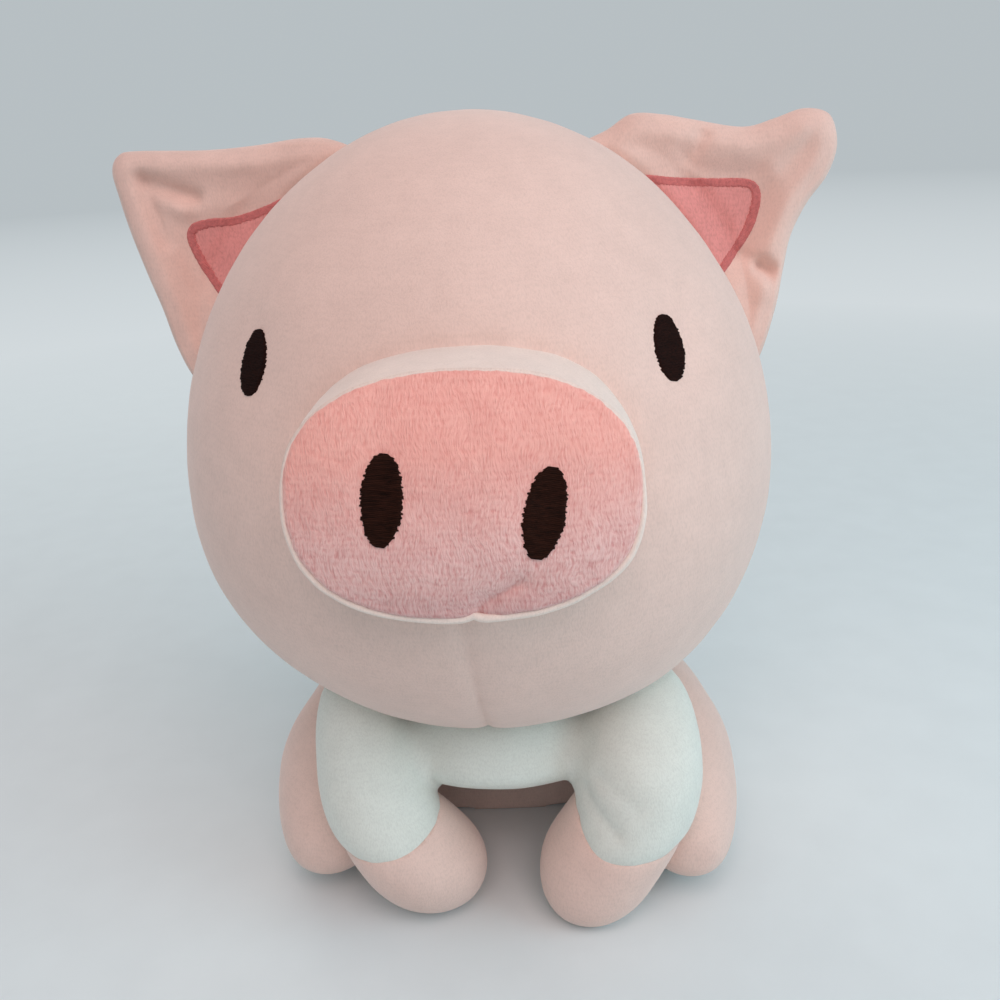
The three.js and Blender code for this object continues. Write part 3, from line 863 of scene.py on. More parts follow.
def body_girth(height_share):
    """Half width, depth ahead and depth behind of the pear at a height from -1 to 1."""
    rise = (height_share + 1) / 2
    wide = RUMP_HALF_WIDTH + (CHEST_HALF_WIDTH - RUMP_HALF_WIDTH) * rise
    swell = smooth((rise - BELLY_RISE_SHARE) / (CHEST_RISE_SHARE - BELLY_RISE_SHARE))
    ahead = BELLY_FORWARD + (CHEST_FORWARD - BELLY_FORWARD) * swell
    behind = RUMP_BACK + (SHOULDERS_BACK - RUMP_BACK) * rise
    return wide, ahead, behind


def body_form(inset=0.0):
    """Places the points of a ball on the body: a pear that sits on the floor, with a chest that juts out."""
    def place(n):
        across, back = round_of(n.x, n.y)
        ring = ring_share(n.z, BODY_POWER)
        wide, ahead, behind = body_girth(n.z)
        deep = ahead if back < 0 else behind
        rise = BODY_MIDDLE + n.z * (BODY_HALF_HEIGHT - inset)
        return Vector((across * ring * (wide - inset), back * ring * (deep - inset), rise))

    return place


def depth_in_body(point):
    """The share of the body's girth that a point in the toy's frame lies at: under 1 is inside."""
    height = (point.z - BODY_MIDDLE) / BODY_HALF_HEIGHT
    if abs(height) >= 1:
        return 2
    wide, ahead, behind = body_girth(height)
    deep = ahead if point.y < 0 else behind
    return math.hypot(point.x / wide, point.y / deep) / ring_share(height, BODY_POWER)


def depth_in_head(point):
    """The share of the head's girth that a point in the head's frame lies at: under 1 is inside."""
    s = sizes()
    height = 2 * point.z / s.head_height
    if abs(height) >= 1:
        return 2
    return math.hypot(2 * point.x / s.head_width, 2 * point.y / s.head_depth) / head_ring(height)


def front_leg_form(side, inset=0.0):
    """Places the points of a ball on a standing leg."""
    sign = dict(SIDES)[side]

    def place(n):
        across, back = round_of(n.x, n.y)
        share = (1 + n.z) / 2
        ring = ring_share(n.z, FRONT_POWER) * (spline(FRONT_GIRTHS[side], share) - inset)
        point = spline(FRONT_SPINES[side], share) + Vector((across * ring, back * ring, -n.z * inset))
        return mirrored(point, sign)

    return place


def hind_leg_form(side, inset=0.0):
    """Places the points of a ball on a leg that lies along the floor."""
    sign = dict(SIDES)[side]

    def place(n):
        across, up = round_of(n.x, n.z)
        share = (1 - n.y) / 2
        girth = spline(HIND_GIRTHS, share)
        ring = ring_share(n.y, HIND_POWER) * (girth - inset)
        point = spline(HIND_SPINES[side], share)
        point = point + Vector((across * ring, -n.y * inset, girth - FLOOR_CUT + up * ring))
        return mirrored(point, sign)

    return place


def snout_oval(turn, grow=Vector((0, 0))):
    """A point of the snout's outline in across and up, about its middle."""
    s = sizes()
    heading = Vector((math.cos(turn * FULL_TURN), math.sin(turn * FULL_TURN)))
    reach = (abs(heading.x) ** SNOUT_POWER + abs(heading.y) ** SNOUT_POWER) ** (-1 / SNOUT_POWER)
    return Vector((
        (s.snout_width / 2 + grow.x) * heading.x * reach,
        (s.snout_height / 2 + grow.y) * heading.y * reach,
    ))


def oval_share(across, up):
    """How far out a place lies in the snout's kind of oval: 1 is on its edge."""
    return (abs(across) ** SNOUT_POWER + abs(up) ** SNOUT_POWER) ** (1 / SNOUT_POWER)


def muzzle_distance(point):
    """How far outside the muzzle's base a point of the face lies."""
    s = sizes()
    half = Vector((s.snout_width / 2, s.snout_height / 2)) + BAND_FLARE
    return (oval_share(point.x / half.x, (point.z + SNOUT_DROP) / half.y) - 1) * half.y


def soft(point, seed):
    """The gentle unevenness of stuffed cloth."""
    return sum(height * lump(point, size, seed) for height, size in SOFT_LUMPS)


# Pieces

def head_relief(point):
    """Seams and dimples of the head covers."""
    offset = soft(point, 1)
    offset += seam(point.y - EAR_SEAM, point)
    if point.y > EAR_SEAM:
        offset += seam(point.x, point)
    elif point.y < 0:
        offset += seam(muzzle_distance(point), point)
        if point.z < CHIN_SEAM_TOP:
            fade = smooth((CHIN_SEAM_TOP - point.z) / CHIN_SEAM_FADE)
            up = (point.z - CHIN_SEAM_BOTTOM) / (CHIN_SEAM_TOP - CHIN_SEAM_BOTTOM)
            offset += fade * seam(point.x + CHIN_SEAM_LEAN * smooth(up), point, CHIN_SEAM_DEPTH)
        s = sizes()
        for place, _ in EYES.values():
            near = math.hypot((point.x - place.x) / s.eye_width, (point.z - place.z) / s.eye_height)
            offset -= EYE_DIMPLE * bell(near / EYE_DIMPLE_REACH)
    return offset


def make_head():
    """The face panel and the two back panels, on one mass of fibre."""
    s = sizes()
    bm = put(ball(CUTS["head"]), head_form())
    cut(bm, (0, EAR_SEAM, 0), (0, 1, 0))
    cut(bm, (0, 0, 0), (1, 0, 0))
    shape(bm, head_relief)
    to_toy = TOY.inverted() @ HEAD

    def in_body(point):
        return depth_in_body(to_toy @ point) < BODY_SEAT

    def in_front(point):
        covered = point.y < 0 and muzzle_distance(point) < -FACE_UNDER_BAND
        return point.y < EAR_SEAM and not covered and not in_body(point)

    args = {"pose": HEAD, "wall": s.cloth, "fill": 0.9}
    pale = finish("Pale plush")
    piece(keep(bm, in_front), "face_panel", "head", "plush_pale", ["head_face_panel"], pale, **args)
    for side, sign in SIDES:
        half = keep(bm, lambda point: point.y > EAR_SEAM and point.x * sign > 0 and not in_body(point))
        piece(half, f"back_panel_{side}", "head", "plush_pale", [f"head_back_{side}"], pale, **args)
    bm.free()
    inner = put(ball(CUTS["head_fill"]), head_form(s.cloth + FILL_GAP))
    piece(inner, "head_fill", "head", "fibre", ["head_stuffing"], finish("Fibre"), pose=HEAD, fill=0.9)


def snout_front(across, up):
    """How far ahead of the rim the domed snout stands, with its creases, at a place on it."""
    s = sizes()
    share = min(1, oval_share(2 * across / s.snout_width, 2 * up / s.snout_height))
    place = Vector((across, 0, up))
    rise = SNOUT_DOME * (1 - share ** DOME_POWER) + lumps(place, SNOUT_LUMPS)
    for spot, lean in NOSTRILS.values():
        off = place - Vector((spot.x, 0, spot.z + SNOUT_DROP))
        a = off.x * math.cos(lean) - off.z * math.sin(lean)
        b = off.x * math.sin(lean) + off.z * math.cos(lean)
        near = math.hypot(2 * a / s.nostril_width, 2 * b / s.nostril_height)
        rise -= NOSTRIL_DIMPLE * bell(near / NOSTRIL_DIMPLE_REACH)
    return rise + sum(crease(place, *fold) for fold in SNOUT_CREASES)


def make_snout():
    """The coral disc: domed, with a rolled edge that tucks into the band."""
    s = sizes()
    rim = s.snout_reach

    def place(flat):
        reach = flat.length
        edge = snout_oval(turn_of(flat))
        edge = edge + edge.normalized() * lumps(Vector((edge.x, 0, edge.y)), SNOUT_EDGE_LUMPS)
        inner = edge * (1 - SNOUT_ROLL / edge.length)
        if reach <= SNOUT_FLAT_SHARE:
            spot = inner * (reach / SNOUT_FLAT_SHARE)
            return Vector((spot.x, -rim - snout_front(spot.x, spot.y), spot.y - SNOUT_DROP))
        lean = (reach - SNOUT_FLAT_SHARE) / (1 - SNOUT_FLAT_SHARE) * SNOUT_ROLL_TURN
        spot = inner + edge.normalized() * SNOUT_ROLL * math.sin(lean)
        front = rim + snout_front(inner.x, inner.y)
        return Vector((spot.x, -front + SNOUT_ROLL * (1 - math.cos(lean)), spot.y - SNOUT_DROP))

    bm = put(disc(CUTS["snout"]), place)
    piece(bm, "snout", "head", "plush_coral", ["snout_disc"], finish("Coral plush"), pose=HEAD,
          wall=s.cloth, fill=0.85, out=Vector((0, 0, -SNOUT_DROP)))


def make_band():
    """The side wall of the muzzle, in the face's plush painted lighter for the light it catches: a rolled lip
    round the disc, then a skirt down to the face.
    """
    s = sizes()
    tree = surface("face_panel")
    front = s.snout_reach - BAND_LIP_BACK

    def root(turn):
        """Where the skirt meets the face."""
        spot = snout_oval(turn, BAND_FLARE)
        start = Vector((spot.x, -2 * s.snout_reach, spot.y - SNOUT_DROP))
        return touch(tree, start, Vector((0, 1, 0)))[0]

    def place(turn, share):
        edge = snout_oval(turn)
        out = edge.normalized()
        roll = BAND_LIP * (1 - BAND_LIP_THINNING * smooth(0.5 + out.y))
        crown = edge + out * (roll - BAND_LIP_SINK)
        if share < BAND_LIP_SHARE:
            lean = BAND_LIP_START + BAND_LIP_TURN * share / BAND_LIP_SHARE
            spot = crown + out * roll * math.sin(lean)
            forward = front + roll * math.cos(lean)
        else:
            base = root(turn)
            down = (share - BAND_LIP_SHARE) / (1 - BAND_LIP_SHARE)
            end = Vector((base.x, base.z + SNOUT_DROP))
            spot = (crown + out * roll).lerp(end, down ** BAND_SPREAD)
            spot += out * BAND_BULGE * math.sin(math.pi * down)
            forward = front + (-base.y - BAND_SINK - front) * down
        outward = Vector((out.x, 0, out.y))
        point = Vector((spot.x, -forward, spot.y - SNOUT_DROP))
        point += outward * lumps(point, BAND_LUMPS)
        if edge.y < 0:
            point -= outward * BAND_PUCKER * math.exp(-abs(point.x - BAND_PUCKER_PLACE) / BAND_PUCKER_WIDTH)
        return point

    def away(face):
        centre = face.calc_center_median()
        return face.normal.x * centre.x + face.normal.z * centre.z

    bm = put_tube(tube(BAND_SEGMENTS, BAND_RINGS), BAND_RINGS, place)
    piece(bm, "muzzle_band_plush", "head", "plush_pale", ["muzzle_band"], finish("Lit band plush"), pose=HEAD,
          wall=s.cloth, fill=0.85, out=away)


def thread_lift(level, end, rise, ridge, dive):
    """How high thread lies over the pile: ridged stitch by stitch, with ends that dive in."""
    return (rise + ridge * abs(math.sin(math.pi * level))) * end - dive * (1 - end)


def satin_oval(tree, kind, side, dye, place, look, size, lean, seed):
    """An oval of satin rows laid on a surface, with uneven row ends that dive into the pile."""
    width, height = size
    draw = random.Random(seed)
    look = look.normalized()
    right = look.cross(Vector((0, 0, 1))).normalized() * -1
    up = look.cross(right).normalized()
    right, up = right * math.cos(lean) - up * math.sin(lean), right * math.sin(lean) + up * math.cos(lean)
    rows = round(height / sizes().stitch)
    jags = []
    for _ in range(rows):
        jags.append((draw.uniform(*ROW_JAG), draw.uniform(*ROW_JAG), draw.uniform(*ROW_PLUMP)))
    bm = bmesh.new()
    bmesh.ops.create_grid(bm, x_segments=ROW_CUTS, y_segments=rows * CUTS_PER_STITCH, size=1)

    def lay(flat):
        level = (flat.y + 1) / 2 * rows
        start_jag, end_jag, plump = jags[min(int(level), rows - 1)]
        rise = flat.y * ROW_TIP_SHARE
        wide = width / 2 * math.sqrt(max(0, 1 - rise * rise)) + (end_jag if flat.x > 0 else start_jag)
        centre = place + right * (flat.x * max(wide, ROW_LEAST)) + up * (rise * height / 2)
        spot, normal = touch(tree, centre + look * OUTSIDE, -look)
        ends = [smooth((1 - abs(value)) / share) for value, share in zip(flat, ROW_END_SHARES)]
        end = ends[0] * ends[1]
        return spot + normal * thread_lift(level, end, THREAD_RISE, THREAD_RIDGE * plump, THREAD_DIVE)

    put(bm, lay)
    thread = finish(f"{dye.capitalize()} thread")
    piece(bm, f"{kind}_thread_{side}", "head", f"thread_{dye}", [f"{kind}_{side}"], thread,
          pose=HEAD, wall=THREAD_WALL, out=lambda face: face.normal.dot(look))


def make_nostrils():
    """Two ovals of brown thread on the snout."""
    s = sizes()
    tree = surface("snout")
    for seed, (side, (place, lean)) in enumerate(NOSTRILS.items(), 20):
        size = s.nostril_width, s.nostril_height
        satin_oval(tree, "nostril", side, "brown", place, Vector((0, -1, 0)), size, lean, seed)


def make_eyes():
    """Two ovals of black thread that look the way the face does there."""
    s = sizes()
    tree = surface("face_panel")
    for seed, (side, (place, lean)) in enumerate(EYES.items(), 30):
        spot, _ = touch(tree, place - Vector((0, OUTSIDE, 0)), Vector((0, 1, 0)))
        look = Vector((spot.x, spot.y, EYE_LOOK_UP))
        satin_oval(tree, "eye", side, "black", spot, look, (s.eye_width, s.eye_height), lean, seed)


def ear_point(flat, sign, ahead):
    """A place ahead of the middle sheet of an ear, which is cupped."""
    bow = EAR_CUP * ((flat - EAR_CUP_MIDDLE).length / EAR_CUP_REACH) ** 2
    return Vector((sign * flat.x, EAR_SEAM - bow - ahead, flat.y))


def how_deep(flat, outline):
    """How far inside an outline a flat point lies, and less than 0 outside it."""
    edge = min((flat - point).length for point in outline)
    return edge if inside(flat, outline) else -edge


def ear_relief(flat, side, patch, border):
    """How far the front of an ear sinks or rises: a puffed border, a sunken patch, and folds."""
    spot = Vector((flat.x, 0, flat.y))
    rise = lumps(spot, EAR_LUMPS[side])
    rise -= PATCH_SINK * smooth((how_deep(flat, patch) + PATCH_SLOPE) / (PATCH_SLOPE + PATCH_INNER_SLOPE))
    deep = how_deep(flat, border)
    for place, height, width, uneven in EAR_WAVES:
        rise += height * bell((deep - place) / width) * (1 + uneven * lump(spot, EAR_WAVE_LUMP, 21))
    for start, end, width, height in EAR_FOLDS[side]:
        rise += height * bell(segment_distance(flat, start, end) / width)
    return rise


def make_ear_covers(side, sign, outline, patch):
    """The front and the back of an ear, which meet in a rolled edge."""
    s = sizes()
    half = s.ear_thickness / 2
    border = [outline(i / BORDER_POINTS) for i in range(BORDER_POINTS)]

    def cover(flat, way):
        reach = flat.length
        arm = outline(turn_of(flat)) - EAR_MIDDLE
        roll = min(half, arm.length * EAR_ROLL_MOST)
        if reach <= EAR_ROLL_SHARE:
            spot = EAR_MIDDLE + arm * (1 - roll / arm.length) * (reach / EAR_ROLL_SHARE)
            thick = half
        else:
            lean = (reach - EAR_ROLL_SHARE) / (1 - EAR_ROLL_SHARE) * math.pi / 2
            spot = EAR_MIDDLE + arm * (1 - roll * (1 - math.sin(lean)) / arm.length)
            thick = half * math.cos(lean)
        if way > 0:
            relief = ear_relief(spot, side, patch, border)
        else:
            relief = lumps(Vector((spot.x, 0, spot.y)), EAR_BACK_LUMPS)
        return ear_point(spot, sign, way * (thick + smooth(thick / half) * relief))

    for part, way in (("front", 1), ("back", -1)):
        bm = put(disc(CUTS["ear"]), lambda flat: cover(flat, way))
        piece(bm, f"ear_{part}_plush_{side}", f"ear_{side}", "plush_pale", [f"ear_{part}_{side}"],
              finish("Ear plush"), pose=HEAD, wall=s.cloth, fill=0.6, out=lambda face: -way * face.normal.y)


def make_ear_patch(side, on_ear, line, middle):
    """The rose patch that lies in the hollow of an ear."""
    def place(flat):
        spot = middle + (line(turn_of(flat)) - middle) * flat.length
        lift = PATCH_RISE + lumps(Vector((spot.x, 0, spot.y)), PATCH_LUMPS)
        return on_ear(spot, lift * smooth((1 - flat.length) / PATCH_EDGE_SHARE) - PATCH_DIVE)

    bm = put(disc(CUTS["patch"]), place)
    piece(bm, f"ear_patch_plush_{side}", f"ear_{side}", "plush_rose", [f"ear_patch_{side}"],
          finish("Rose plush"), pose=HEAD, wall=PATCH_WALL, out=lambda face: -face.normal.y)


def make_ear_edging(side, sign, on_ear, line, run, middle):
    """The satin stitches over the border of a patch."""
    stitches = round(run / sizes().stitch)
    draw = random.Random(40 + sign)
    jags = [[draw.uniform(0, most) for most in EDGING_JAGS] for _ in range(stitches)]

    def place(turn, share):
        level = turn * stitches
        here = line(turn)
        heading = line(turn + EDGING_STEP) - line(turn - EDGING_STEP)
        out = Vector((heading.y, -heading.x)).normalized()
        if out.dot(here - middle) < 0:
            out = -out
        inner, outer = jags[int(level) % stitches]
        wide = -EDGING_WIDTH / 2 - inner + (EDGING_WIDTH + inner + outer) * share
        end = smooth(share / EDGING_END_SHARE) * smooth((1 - share) / EDGING_END_SHARE)
        return on_ear(here + out * wide, thread_lift(level, end, EDGING_RISE, EDGING_RIDGE, EDGING_DIVE))

    bm = put_tube(tube(stitches * CUTS_PER_STITCH, EDGING_RINGS), EDGING_RINGS, place)
    piece(bm, f"ear_edging_thread_{side}", f"ear_{side}", "thread_rose", [f"ear_edging_{side}"],
          finish("Rose thread"), pose=HEAD, wall=EDGING_WALL, out=lambda face: -face.normal.y)


def make_ears():
    """Both ears: two covers each, a patch, and its edging."""
    for side, sign in SIDES:
        outline, _ = even_loop(mm_list(*EAR_OUTLINES[side], *EAR_BASE))
        line, run = even_loop(mm_list(*PATCH_OUTLINES[side], *PATCH_BASE))
        patch = [line(i / PATCH_POINTS) for i in range(PATCH_POINTS)]
        middle = sum(patch, Vector((0, 0))) / len(patch)
        make_ear_covers(side, sign, outline, patch)
        tree = surface(f"ear_front_plush_{side}")

        def on_ear(flat, lift):
            """A place lifted off the front of the ear."""
            place, _ = touch(tree, Vector((sign * flat.x, -OUTSIDE, flat.y)), Vector((0, 1, 0)))
            return place - Vector((0, lift, 0))

        make_ear_patch(side, on_ear, line, middle)
        make_ear_edging(side, sign, on_ear, line, run, middle)


def fused(parts, cell):
    """One even skin round closed forms that overlap."""
    mesh = bpy.data.meshes.new("skin")
    joined = bmesh.new()
    for part in parts:
        part.to_mesh(mesh)
        joined.from_mesh(mesh)
    joined.to_mesh(mesh)
    joined.free()
    obj = bpy.data.objects.new("skin", mesh)
    bpy.context.scene.collection.objects.link(obj)
    modifier = obj.modifiers.new("Skin", "REMESH")
    modifier.mode = "VOXEL"
    modifier.voxel_size = cell
    graph = bpy.context.evaluated_depsgraph_get()
    skin = bmesh.new()
    skin.from_mesh(obj.evaluated_get(graph).to_mesh())
    bpy.data.objects.remove(obj)
    bpy.data.meshes.remove(mesh)
    return skin


def rounded_join(skin, trees, reach):
    """Smooths a fused skin, and rounds it out where it is close to two of the surfaces it joins."""
    axes = {"use_axis_x": True, "use_axis_y": True, "use_axis_z": True}
    bmesh.ops.smooth_vert(skin, verts=skin.verts[:], factor=0.5, **axes)
    low, high = ARMPIT_SHARP
    away = {}
    for vert in skin.verts:
        roundness = ARMPIT_LEAST + (1 - ARMPIT_LEAST) * smooth((vert.co.z - low) / (high - low))
        away[vert] = sorted(tree.find_nearest(vert.co)[3] for tree in trees)[1] / roundness
    for step in range(ARMPIT_PASSES):
        near = reach * (1 - ARMPIT_NARROWING * step / ARMPIT_PASSES)
        verts = [vert for vert, gap in away.items() if gap < near]
        bmesh.ops.smooth_vert(skin, verts=verts, factor=0.5, **axes)


def cuff_level(side):
    """How far above the cuff a point lies. The cuff is low outside and in front, and higher on the inside."""
    sign = dict(SIDES)[side]
    spine = FRONT_SPINES[side]

    def level(point):
        middle = spline(spine, min(1, max(0, point.z / spine[-1].z)))
        off = Vector((sign * point.x - middle.x, point.y - middle.y))
        inward = (1 - off.x / max(off.length, MM)) / 2
        low, rise, power_of = CUFFS[side]
        return point.z - low - rise * inward ** power_of

    return level


def hem_level(point):
    """How far above the shirt's hem a point lies."""
    return (point - HEM_POINT).dot(HEM_NORMAL)


FrontLeg = namedtuple("FrontLeg", "side sign start end shoulder cuff holds")


def front_leg(side, sign, body, leg):
    """The part of the skin that belongs to a front leg, told by which of two surfaces is nearer."""
    start, run = mirrored(SLEEVE_START, sign), mirrored(SLEEVE_RUN, sign)

    def down(point):
        """How far down the sleeve from the shoulder a point lies."""
        return (point - start).dot(run.normalized())

    def shoulder(point):
        return down(point) if point.x * sign > 0 and point.y < SLEEVE_BACK else 1

    def holds(point):
        if point.x * sign < SLEEVES_APART or point.y > SLEEVE_BACK or down(point) < 0:
            return False
        return hem_level(point) > 0 or leg.find_nearest(point)[3] < body.find_nearest(point)[3]

    return FrontLeg(side, sign, start, start + run, shoulder, cuff_level(side), holds)


def make_body():
    """The shirt, sleeves, paws and rump are one skin, cut along its seams."""
    s = sizes()
    parts = [put(ball(CUTS["body"]), body_form())]
    parts += [put(ball(CUTS["front_leg"]), front_leg_form(side)) for side, _ in SIDES]
    skin = fused(parts, SKIN_CELL)
    trees = [BVHTree.FromBMesh(part) for part in parts]
    for part in parts:
        part.free()
    rounded_join(skin, trees, ARMPIT_ROUND)
    legs = [front_leg(*named, trees[0], tree) for named, tree in zip(SIDES, trees[1:])]
    for leg in legs:
        cut_where(skin, leg.shoulder)
        cut_where(skin, lambda point: leg.cuff(point) if leg.holds(point) else 1)
    cut_where(skin, lambda point: 1 if any(leg.holds(point) for leg in legs) else hem_level(point))
    to_head = HEAD.inverted() @ BODY

    def name_of(face):
        centre = face.calc_center_median()
        if depth_in_head((to_head @ centre) / HEAD_SEAT) < 1:
            return None
        for leg in legs:
            if leg.holds(centre):
                return ("sleeve_plush_" if above(face, leg.cuff) else "paw_plush_") + leg.side
        return "shirt_plush" if above(face, hem_level) else "rump_plush"

    names = {face: name_of(face) for face in skin.faces}

    def relief(point):
        offset = soft(point, 2) + sum(crease(point, *fold) for fold in SLEEVE_CREASES)
        for leg in legs:
            if leg.holds(point):
                return offset + seam(leg.cuff(point), point, CUFF_SEAM_DEPTH)
        return offset + seam(hem_level(point), point)

    middle = Vector((0, 0, BODY_MIDDLE))
    shape(skin, relief, middle)
    sole(skin)

    def sew(name, body, slot, node, material, **args):
        part = keep_faces(skin, lambda face: names[face] == name)
        piece(part, name, body, slot, [node], material, pose=BODY, wall=s.cloth, fill=0.9, **args)

    mint, pale, fibre = finish("Mint plush"), finish("Pale plush"), finish("Fibre")
    sew("shirt_plush", "torso", "plush_mint", "shirt_body", mint, out=middle, crisp=True)
    sew("rump_plush", "torso", "plush_pale", "rump_cover", pale, out=middle)
    for leg in legs:
        side, body = leg.side, f"front_leg_{leg.side}"
        args = {"out": mirrored(FRONT_SPINES[side][1], leg.sign), "blend": (BODY @ leg.start, BODY @ leg.end)}
        sew(f"sleeve_plush_{side}", body, "plush_mint", f"sleeve_{side}", mint, crisp=True, **args)
        sew(f"paw_plush_{side}", body, "plush_pale", f"paw_{side}", pale, **args)
        inner = put(ball(CUTS["leg_fill"]), front_leg_form(side, s.cloth + BODY_FILL_GAP))
        piece(inner, f"front_leg_fill_{side}", body, "fibre", [f"front_leg_stuffing_{side}"], fibre,
              pose=BODY, fill=0.9, **args)
    skin.free()
    inner = put(ball(CUTS["body_fill"]), body_form(s.cloth + BODY_FILL_GAP))
    piece(inner, "body_fill", "torso", "fibre", ["body_stuffing"], fibre, pose=BODY, fill=0.9)
    centre = Vector((0, NECK_BACK, NECK_HEIGHT))
    neck = put(ball(CUTS["neck_fill"]), lambda n: n * NECK_RADIUS + centre)
    piece(neck, "neck_fill", "neck", "fibre", ["neck_stuffing"], fibre, fill=1.0, out=centre)


def sole(bm):
    """Flattens what reaches below the floor."""
    for vert in bm.verts:
        vert.co.z = max(vert.co.z, SOLE_SHARE * vert.co.z)


def make_hind_legs():
    """The covers of the hind legs, each on its fibre."""
    s = sizes()
    for side, sign in SIDES:
        centre = mirrored(HIND_MIDDLE, sign)
        bm = put(ball(CUTS["hind_leg"]), hind_leg_form(side))
        shape(bm, lambda place: soft(place, 30 + sign), centre)
        sole(bm)
        body = f"hind_leg_{side}"
        args = {"pose": BODY, "fill": 0.9, "out": centre}
        piece(bm, f"hind_leg_plush_{side}", body, "plush_pale", [f"hind_leg_cover_{side}"],
              finish("Pale plush"), wall=s.cloth, **args)
        inner = put(ball(CUTS["leg_fill"]), hind_leg_form(side, s.cloth + FILL_GAP))
        piece(inner, f"hind_leg_fill_{side}", body, "fibre", [f"hind_leg_stuffing_{side}"],
              finish("Fibre"), **args)


def tail_line(share):
    """A point of the tail's middle line: out of the seat, then round in a curl."""
    turns = share * TAIL_TURNS
    angle = turns * FULL_TURN
    reach = TAIL_CURL * min(1, turns / TAIL_OPEN_TURNS)
    out = TAIL_STEM * min(1, turns / TAIL_STEM_TURNS) + TAIL_PITCH * turns
    return TAIL_ROOT + Vector((math.sin(angle) * reach, out, math.cos(angle) * reach))


def make_tail():
    """A padded tube with a seam along it, curled once and a quarter."""
    def place(turn, share):
        ahead, behind = tail_line(min(1, share + TAIL_STEP)), tail_line(max(0, share - TAIL_STEP))
        run = (ahead - behind).normalized()
        side = run.cross(Vector((0, 1, 0))).normalized()
        angle = turn * FULL_TURN
        tip = min(1, (1 - share) / TAIL_TIP_SHARE)
        radius = TAIL_RADIUS * (1 - TAIL_TAPER * share) * math.sqrt(max(0, 1 - (1 - tip) ** 2))
        around = side * math.cos(angle) + side.cross(run) * math.sin(angle)
        point = tail_line(share) + around * radius
        return point + around * seam(radius * (angle - math.pi), point, TAIL_SEAM_DEPTH) * tip

    def away(face):
        centre = face.calc_center_median()
        return (centre - nearest_on_tail(centre)).dot(face.normal)

    bm = put_tube(tube(TAIL_SEGMENTS, TAIL_RINGS), TAIL_RINGS, place)
    piece(bm, "tail_plush", "tail", "plush_pale", ["tail"], finish("Pale plush"), fill=0.8, out=away)


def nearest_on_tail(point):
    """The place of the tail's middle line that is nearest to a point."""
    line = [tail_line(i / TAIL_POINTS) for i in range(TAIL_POINTS + 1)]
    return min(line, key=lambda place: (place - point).length)


# Studio

CAMERA_PLACE = mm(15, -317.5, 256)
CAMERA_PITCH = math.radians(21)
CAMERA_YAW = math.radians(1.6)
CAMERA_ROLL = math.radians(-3)
CAMERA_LENS = 36.72
LAMP_AIM = Vector((0, 0, 0.13))
SKY_SHADE = (0.84, 0.94, 1.0, 1)
FLOOR_RADIUS = 4
FLOOR_FADE = (0.32, 1.1)
BACKDROP_FADE = (0.7, 3.5)


def make_camera():
    """The camera of the photo, fitted on the marks of the face."""
    data = bpy.data.cameras.new("Camera")
    data.lens = CAMERA_LENS
    camera = bpy.data.objects.new("Camera", data)
    turn = Matrix.Rotation(CAMERA_YAW, 4, "Z") @ Matrix.Rotation(math.pi / 2 - CAMERA_PITCH, 4, "X")
    camera.matrix_world = Matrix.Translation(CAMERA_PLACE) @ turn @ Matrix.Rotation(CAMERA_ROLL, 4, "Z")
    bpy.context.scene.collection.objects.link(camera)
    bpy.context.scene.camera = camera


def lamp(name, place, size, energy, shade):
    """A round lamp that shines at the toy."""
    data = bpy.data.lights.new(name, "AREA")
    data.shape = "DISK"
    data.size = size
    data.energy = energy
    data.color = shade
    obj = bpy.data.objects.new(name, data)
    obj.location = place
    obj.rotation_euler = (LAMP_AIM - Vector(place)).to_track_quat("-Z", "Y").to_euler()
    bpy.context.scene.collection.objects.link(obj)


def seen(nodes):
    """1 for rays that see a surface directly, in a gloss or through glass, and 0 for the rest."""
    path = nodes.add("LightPath").outputs
    rays = nodes.calc(path["Is Camera Ray"], path["Is Glossy Ray"], "MAXIMUM")
    return nodes.calc(rays, path["Is Transmission Ray"], "MAXIMUM")


def make_floor(studio):
    """A wide floor of paper. Where it is seen from far, it glows with painted light that dims with distance
    from the near glow into the backdrop.
    """
    nodes = Nodes(bpy.data.materials.new("Backdrop paper"))
    coords = nodes.add("TexCoord").outputs["Object"]
    away = nodes.add("VectorMath", {0: coords}, operation="LENGTH").outputs["Value"]
    grain = nodes.span(nodes.noise(coords, 40, 4.0), 0.3, 0.7, 0.985, 1.015)
    near = nodes.dimmed(linear(studio.floor), grain)
    paper = nodes.add("BsdfDiffuse", {"Color": near}).outputs[0]
    # Painted light of the far floor, dimmer with distance
    fade = nodes.mixed(nodes.span(away, *BACKDROP_FADE), linear(studio.near_glow), linear(studio.backdrop))
    glow = nodes.add("Emission", {"Color": fade, "Strength": 1.0}).outputs[0]
    far = nodes.calc(nodes.span(away, *FLOOR_FADE), seen(nodes), "MULTIPLY")
    material = nodes.finish(nodes.add("MixShader", {0: far, 1: paper, 2: glow}).outputs[0])
    bm = bmesh.new()
    bmesh.ops.create_circle(bm, cap_ends=True, segments=96, radius=FLOOR_RADIUS)
    mesh = bpy.data.meshes.new("floor")
    bm.to_mesh(mesh)
    bm.free()
    mesh.materials.append(material)
    floor = bpy.data.objects.new("floor", mesh)
    bpy.context.scene.collection.objects.link(floor)


